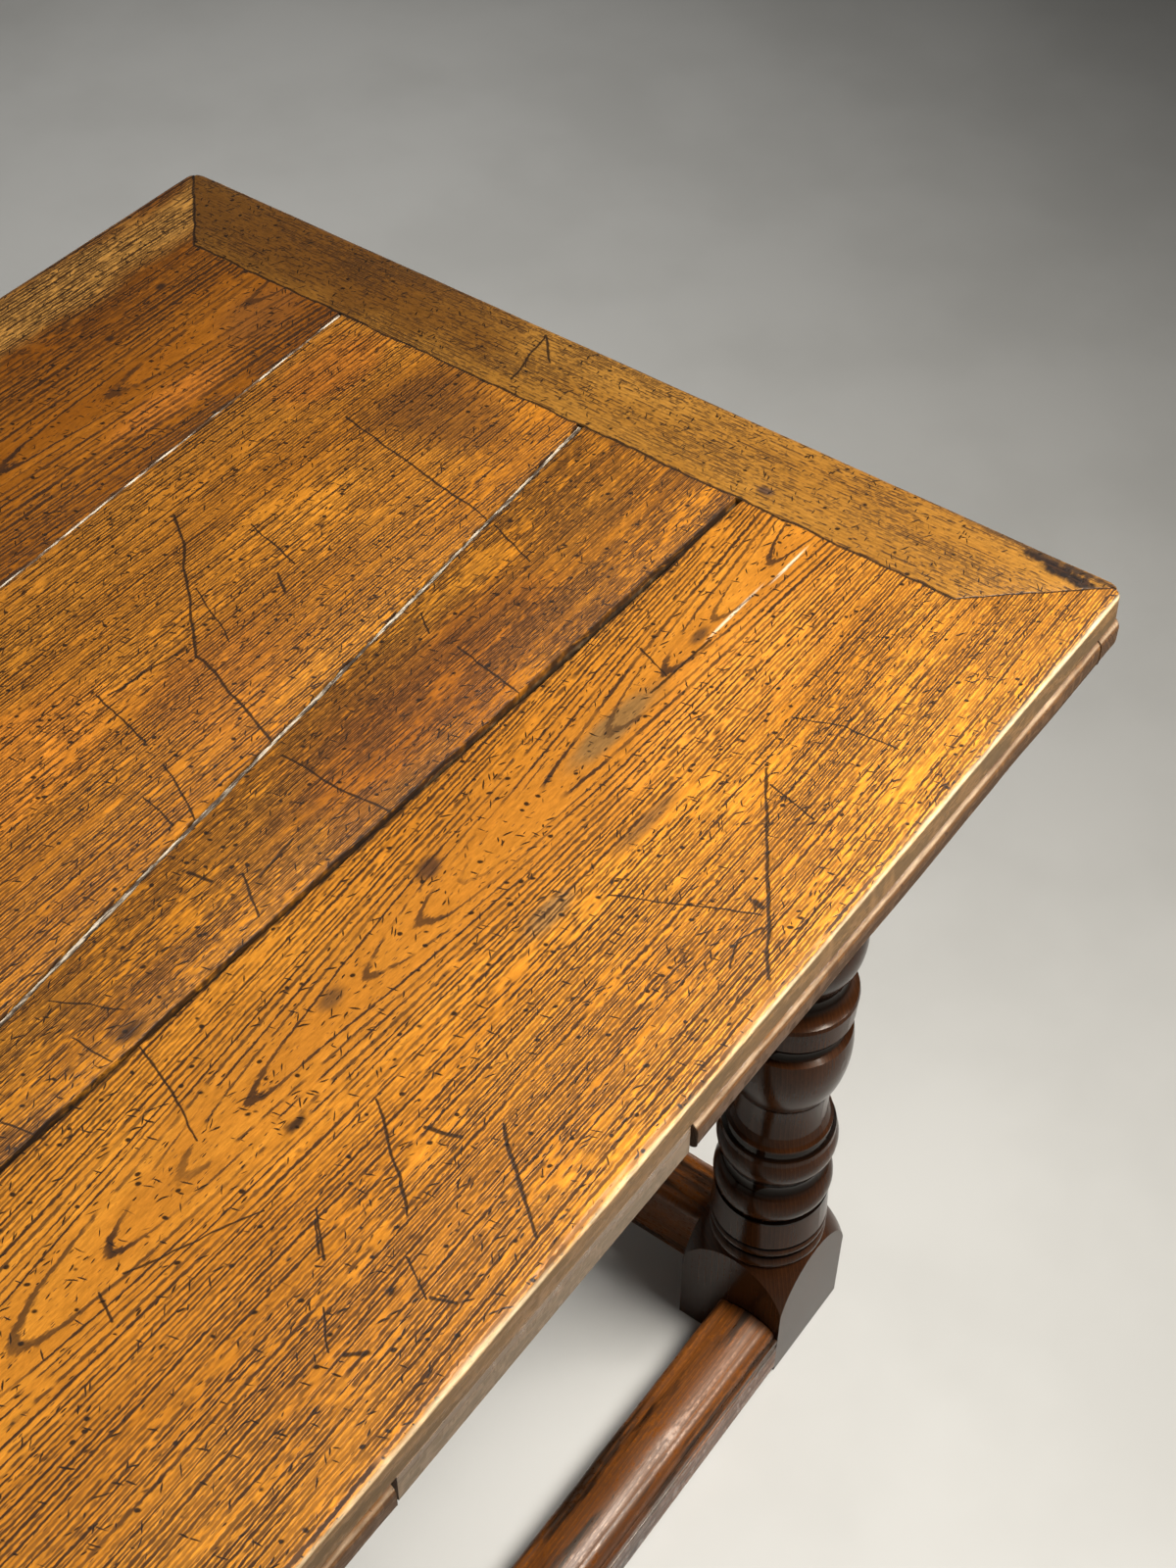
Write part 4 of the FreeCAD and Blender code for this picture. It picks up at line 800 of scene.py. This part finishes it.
def softenEdges(piece, width):
    focusOn(piece)
    bpy.ops.object.modifier_add(type="BEVEL")
    bevel = piece.modifiers[-1]
    bevel.limit_method = "ANGLE"
    bevel.angle_limit = math.radians(bevelLook["angle"])
    bevel.width = width
    bevel.segments = bevelLook["segments"]
    bpy.ops.object.modifier_apply(modifier=bevel.name)


def makeClouds(name, scale, depth):
    clouds = bpy.data.textures.new(name, "CLOUDS")
    clouds.noise_scale = scale
    clouds.noise_depth = depth
    return clouds


def displace(piece, clouds, strength, level, groupName=""):
    focusOn(piece)
    bpy.ops.object.modifier_add(type="DISPLACE")
    lumps = piece.modifiers[-1]
    lumps.texture = clouds
    lumps.texture_coords = "LOCAL"
    lumps.mid_level = level
    lumps.strength = strength
    lumps.vertex_group = groupName
    bpy.ops.object.modifier_apply(modifier=lumps.name)


def rubEdges(piece, clouds, depth, weightAt):
    group = piece.vertex_groups.new(name="rub")
    for vertex in piece.data.vertices:
        weight = weightAt(vertex.co)
        if weight > 0:
            group.add([vertex.index], weight, "REPLACE")
    displace(piece, clouds, -depth, 0, group.name)


def smooth(piece, angle=35):
    focusOn(piece)
    bpy.ops.object.shade_smooth_by_angle(angle=math.radians(angle))


def dress(piece, node, material):
    piece.data.materials.append(material)
    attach(piece, frame["nodes"][node]["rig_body"])
    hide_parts(node)


# the seam's place across the top at a point along it
def seamAt(name, x):
    far, near = seams[name]
    return (near + (far - near) * (x + clampInner) / (2 * clampInner)) * mm


# how far each plank's upper arris stands back from the seam, in millimetres
seamOpening = {
    "left": {"wide": 0.9, "far": 0.3, "middle": 0.0},
    "middle": {"wide": 1.8, "far": 0.3, "middle": 0.0},
    "right": {"wide": 1.5, "far": 1.5, "middle": 0.36},
}
seamLip = 0.001
seamBulge = 0.13
seamWaves = ((0.25, 61, 0), (0.2, 143, 1))  # height, pace, shift


def openSeams(piece):
    for vertex in piece.data.vertices:
        spot = vertex.co
        if abs(spot.x) > clampInner + seamLip or spot.z < topHigh - seamLip:
            continue
        for name, opening in seamOpening.items():
            gap = spot.y - seamAt(name, spot.x)
            if abs(gap) < seamLip:
                bulge = math.exp(-((spot.x - opening["middle"]) / seamBulge) ** 2)
                wave = sum(high * math.sin(spot.x * pace + shift) for high, pace, shift in seamWaves)
                back = opening["wide"] * (1 + wave) + opening["far"] * bulge
                spot.y += math.copysign(back * mm, gap)


cornerRound = 0.0125
cornerCuts = [0.002, 0.005, 0.008, 0.0115, 0.015]


# square corners of the top drawn in to a round
def roundCorners(piece):
    for vertex in piece.data.vertices:
        spot = vertex.co
        over = Vector((abs(spot.x) - halfLength + cornerRound, abs(spot.y) - halfWidth + cornerRound))
        if min(over) > 0:
            over *= max(over) / over.length
            spot.x = math.copysign(halfLength - cornerRound + over.x, spot.x)
            spot.y = math.copysign(halfWidth - cornerRound + over.y, spot.y)


def bothEnds(half, gaps):
    return [half - gap for gap in gaps] + [gap - half for gap in gaps]


wearClouds = makeClouds("wearClouds", 0.07, 3)
topWear = {"cutStep": 0.012, "soften": 0.0005, "rubReach": 0.012, "rubDepth": 0.0013, "kept": 0.004}


def makeTop(wear):
    def rubWeight(spot):
        gap = min(halfLength - abs(spot.x), halfWidth - abs(spot.y))
        if gap > wear["rubReach"] or spot.z < topLow + wear["kept"]:
            return 0
        return 1 - gap / wear["rubReach"]

    for node, look in topLooks.items():
        if "clamp" in node:
            cuts = [(acrossTop, evenly(-halfWidth, halfWidth, wear["cutStep"]))]
        else:
            cuts = [(alongTop, evenly(-halfLength, halfLength, wear["cutStep"]))]
        cuts.append((alongTop, bothEnds(halfLength, cornerCuts)))
        cuts.append((acrossTop, bothEnds(halfWidth, cornerCuts)))
        piece = workingCopy(node, cuts)
        openSeams(piece)
        roundCorners(piece)
        softenEdges(piece, wear["soften"])
        rubEdges(piece, wearClouds, wear["rubDepth"], rubWeight)
        smooth(piece)
        dress(piece, node, oakFinish(node + "_oak", look))
    print("top dressed")


# old filler pressed into two of the seams
fillerLook = {
    "middle": {"width": 0.0032, "sink": 0.0002, "lumps": 0.0014,
               "pale": (0.52, 0.44, 0.33), "dull": (0.05, 0.03, 0.017)},
    "left": {"width": 0.0022, "sink": 0.0001, "lumps": 0.0006,
             "pale": (0.74, 0.64, 0.5), "dull": (0.1, 0.05, 0.02)},
}
fillerShape = {"short": 0.003, "tall": 0.005, "cutStep": 0.004, "soften": 0.3, "smooth": 60}
fillerWorn = {"stretch": (0.3, 3.0, 3.0), "scale": 170, "edge": (0.44, 0.6), "rough": 0.75}
fillerClouds = makeClouds("fillerClouds", 0.005, 2)


def fillerFinish(name, look):
    material, tree, shader, place = newFinish(name + "SeamFiller")
    worn = cloud(tree, vecCalc(tree, "MULTIPLY", place, fillerWorn["stretch"]), fillerWorn["scale"], 4, 0.65)
    worn = ease(tree, worn, *fillerWorn["edge"])
    feed(tree, shader["Base Color"], mixTone(tree, worn, look["dull"], look["pale"]))
    shader["Roughness"].default_value = fillerWorn["rough"]
    return material


def makeFiller(name, look):
    shape = fillerShape
    deselectAll()
    bpy.ops.mesh.primitive_cube_add(size=1)
    strip = bpy.context.object
    strip.name = "seamFiller" + name.capitalize()
    bpy.ops.object.mode_set(mode="EDIT")
    bpy.ops.transform.resize(value=(2 * clampInner - shape["short"], look["width"], shape["tall"]))
    cutAcross(alongTop, evenly(-clampInner, clampInner, shape["cutStep"]))
    bpy.ops.object.mode_set(mode="OBJECT")
    for vertex in strip.data.vertices:
        vertex.co.y += seamAt(name, vertex.co.x)
        vertex.co.z += topHigh - look["sink"] - shape["tall"] / 2
    softenEdges(strip, look["width"] * shape["soften"])
    displace(strip, fillerClouds, look["lumps"], 1)
    smooth(strip, shape["smooth"])
    strip.data.materials.append(fillerFinish(name, look))
    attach(strip, "top")


leafBoard = {
    **topBoard, "pith": (0.3, leafHigh - 0.2), "ring": 0.0032, "waver": 0.003, "seed": 23.0,
    "light": (0.42, 0.2, 0.06), "dark": (0.26, 0.11, 0.028), "shadeTone": (0.2, 0.08, 0.02),
    "border": {"HalfX": 2.0, "HalfY": leafHalf, "Upper": leafHigh, "RubWidth": 0.014, "SideDrop": 0.007},
    "sideTone": (0.07, 0.038, 0.02), "sideDepth": 0.85, "edgeBandTone": (0.085, 0.038, 0.016), "rubDepth": 0.85,
    # the leaf's arris: a thin pale line of rubbed wood with a painted highlight
    "arris": {"RubWidth": 0.0048, "SideDrop": 0.005}, "arrisWearAndHighlightTone": (0.58, 0.43, 0.28), "arrisDepth": 0.62,
    "nicks": 0.4, "rough": 0.4,
}
centreBoard = {
    **leafBoard, "arris": None, "sideTone": (0.2, 0.15, 0.1), "edgeBandTone": (0.2, 0.14, 0.09), "seed": 29.0,
}
frameBoard = {
    **topBoard, "pith": (0.3, 0.2), "ring": 0.0034, "waver": 0.004, "seed": 31.0,
    "border": None, "nicks": 0.1,
    "light": (0.28, 0.086, 0.012), "dark": (0.085, 0.024, 0.005), "shadeTone": (0.05, 0.016, 0.004),
    "rowTone": (0.012, 0.005, 0.002), "rough": 0.18, "specular": 0.36, "coat": 0.12, "bump": 0.05,
    "rowDepth": 0.45, "fibreDepth": 0.3, "shadeDepth": 0.3, "sheen": (1.0, 0.86, 0.72),
    "streak": {"scale": (6, 60, 60), "tone": (0.012, 0.005, 0.002), "depth": 0.95},
}
legBoard = {
    **frameBoard, "turn": (0, 90, 0), "pith": (0.1, 0.1), "seed": 41.0, "fibreDepth": 0.1, "streak": None,
    "light": (0.062, 0.02, 0.006), "dark": (0.014, 0.005, 0.002), "shadeTone": (0.008, 0.0035, 0.002),
    "bump": 0.012, "rough": 0.12, "rowRough": 0.0, "specular": 0.1, "coat": 0.07, "coatRough": 0.1,
    # painted shade in the leg's coves
    "coveShadeTone": (0.0025, 0.0015, 0.001),
    "bands": [(143.5, 4), (156, 3), (192, 3), (234, 16), (280, 6),
              (335, 4), (411, 10), (460, 14), (550, 10), (575, 4)],
}
loperBoard = {
    **frameBoard, "light": (0.4, 0.25, 0.13), "dark": (0.25, 0.14, 0.07), "shadeTone": (0.2, 0.11, 0.05),
    "rowTone": (0.1, 0.05, 0.02), "rough": 0.5, "sheen": (1, 1, 1), "coat": 0.0, "streak": None,
}
leafOak = oakFinish("leaf_oak", leafBoard)
leafEndOak = oakFinish("leaf_end_oak", {**leafBoard, "turn": (0, 0, 90), "seed": 27.0})
frameOak = oakFinish("frame_oak", frameBoard)
frameEndOak = oakFinish("frame_end_oak", {**frameBoard, "turn": (0, 0, 90), "seed": 37.0})

leafWear = {"cutStep": 0.01, "soften": 0.0012, "rubReach": 0.014, "rubDepth": 0.0016}


# the leaves' outer boards, with knocked edges
def makeLeafEdges(wear):
    def rubWeight(spot):
        return max(0, 1 - (leafHalf - abs(spot.y)) / wear["rubReach"])

    for end in ("far", "near"):
        for board in ("plank_left", "plank_right", "outer_clamp"):
            node = "leaf_" + end + "_" + board
            low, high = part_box(node)
            piece = workingCopy(node, [(alongTop, evenly(low.x, high.x, wear["cutStep"]))])
            softenEdges(piece, wear["soften"])
            rubEdges(piece, wearClouds, wear["rubDepth"], rubWeight)
            smooth(piece)
            dress(piece, node, leafEndOak if "clamp" in board else leafOak)
    print("leaf edges worn")


# stretchers with their upper side trodden to a crown
stretcherLook = {
    "quirk": 0.003, "outerMould": 0.016, "innerMould": 0.011,
    "tread": 0.0012, "treadDrop": 0.02,
    "ledgeGap": 0.001, "crownStep": 0.003, "cutStep": 0.012,
    "overlap": 1.02, "weld": 0.00005,
}
treadClouds = makeClouds("treadClouds", 0.05, 2)


def makeStretchers(look):
    for node in ("side_stretcher_left", "side_stretcher_right", "end_stretcher_far", "end_stretcher_near"):
        low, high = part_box(node)
        across, run = (1, 0) if node.startswith("side") else (0, 1)
        wide, long = (acrossTop, alongTop) if node.startswith("side") else (alongTop, acrossTop)
        middle = (low[across] + high[across]) / 2
        half = (high[across] - low[across]) / 2
        outward = math.copysign(1, middle)
        outer = middle + outward * (half - look["outerMould"])
        inner = middle - outward * (half - look["innerMould"])
        start, stop = sorted([outer, inner])
        centre, reach = (start + stop) / 2, (stop - start) / 2
        piece = workingCopy(node, [
            (wide, evenly(start + look["ledgeGap"], stop - look["ledgeGap"], look["crownStep"])),
            (long, evenly(low[run], high[run], look["cutStep"]))])
        for vertex in piece.data.vertices:
            gap = (vertex.co[across] - centre) / reach
            if vertex.co.z > high.z - look["quirk"] / 2 and abs(gap) <= look["overlap"]:
                vertex.co.z = high.z - look["quirk"] * min(1, gap * gap)
        focusOn(piece)
        bpy.ops.object.mode_set(mode="EDIT")
        bpy.ops.mesh.select_all(action="SELECT")
        bpy.ops.mesh.remove_doubles(threshold=look["weld"])
        bpy.ops.object.mode_set(mode="OBJECT")

        def treadWeight(spot):
            return 1 if spot.z > high.z - look["treadDrop"] else 0

        rubEdges(piece, treadClouds, look["tread"], treadWeight)
        smooth(piece)
        dress(piece, node, frameOak if across == 1 else frameEndOak)
    print("stretchers made")


steelLook = {"bare": (0.36, 0.35, 0.34), "rust": (0.16, 0.085, 0.045), "scale": 420, "edge": (0.42, 0.66),
             "roughSpan": (0.4, 0.32), "metalSpan": (-0.6, 1.0)}


def steelFinish(look):
    material, tree, shader, place = newFinish("screw_steel")
    rust = ease(tree, cloud(tree, place, look["scale"], 3, 0.6), *look["edge"])
    feed(tree, shader["Base Color"], mixTone(tree, rust, look["bare"], look["rust"]))
    feed(tree, shader["Roughness"], calc(tree, "MULTIPLY_ADD", rust, *look["roughSpan"]))
    feed(tree, shader["Metallic"], calc(tree, "MULTIPLY_ADD", rust, *look["metalSpan"]))
    return material


# finishes of the nodes that are shown as the CAD gives them
def dressRest():
    screwSteel = steelFinish(steelLook)
    legOak = oakFinish("leg_oak", legBoard)
    loperOak = oakFinish("loper_oak", loperBoard)
    centreOak = oakFinish("centre_oak", centreBoard)
    for name, node in frame["nodes"].items():
        if node.hide_render:
            continue
        finish = frameOak
        if name.startswith("leg_"):
            finish = legOak
        elif "screws" in name:
            finish = screwSteel
        elif name.startswith(("end_", "medial_")):
            finish = frameEndOak
        elif name in ("rail_pegs", "stretcher_pegs"):
            finish = legOak
        elif "loper" in name or "pegs" in name:
            finish = loperOak
        elif name.startswith("leaf_"):
            finish = leafEndOak if "clamp" in name else leafOak
        elif name == "centre_board":
            finish = centreOak
        node.data.materials.clear()
        node.data.materials.append(finish)
    print("frame and leaves dressed")


# a pale floor that far from the table gets a painted glow, seen only by camera and glossy rays, so that it
# passes into the backdrop
floorLook = {
    "size": 40, "place": (1.5, 1.0, -0.0005), "tone": (0.58, 0.575, 0.55), "shade": (0.53, 0.525, 0.5),
    "cloud": 3.5, "edge": (0.35, 0.7), "rough": 0.65,
    "middle": (-0.6, -0.5, 0), "fade": (2.0, 4.4), "glow": (0.45, 0.44, 0.42),
}


def makeFloor(look):
    deselectAll()
    bpy.ops.mesh.primitive_plane_add(size=look["size"], location=look["place"])
    floor = bpy.context.object
    floor.name = "studioFloor"
    material, tree, shader, place = newFinish("paleFloor")
    worn = ease(tree, cloud(tree, place, look["cloud"], 4), *look["edge"])
    feed(tree, shader["Base Color"], mixTone(tree, worn, look["tone"], look["shade"]))
    shader["Roughness"].default_value = look["rough"]
    # painted glow, seen only by camera and glossy rays, growing with the distance from the middle
    away = vecCalc(tree, "LENGTH", vecCalc(tree, "SUBTRACT", place, look["middle"]), None, "Value")
    path = tree.nodes.new("ShaderNodeLightPath").outputs
    seen = calc(tree, "MAXIMUM", path["Is Camera Ray"], path["Is Glossy Ray"])
    fade = times(tree, ease(tree, away, *look["fade"]), seen)
    feed(tree, shader["Emission Color"], mixTone(tree, fade, (0, 0, 0), look["glow"]))
    shader["Emission Strength"].default_value = 1
    floor.data.materials.append(material)


addCamera(cameraLook)
addLamps(lampLook)
addSky(skyLook)
makeFloor(floorLook)
print("studio set")
makeTop(topWear)
for seamName, seamFill in fillerLook.items():
    makeFiller(seamName, seamFill)
print("seams filled")
makeLeafEdges(leafWear)
makeStretchers(stretcherLook)
dressRest()

view = bpy.context.scene.view_settings
view.view_transform = "Standard"
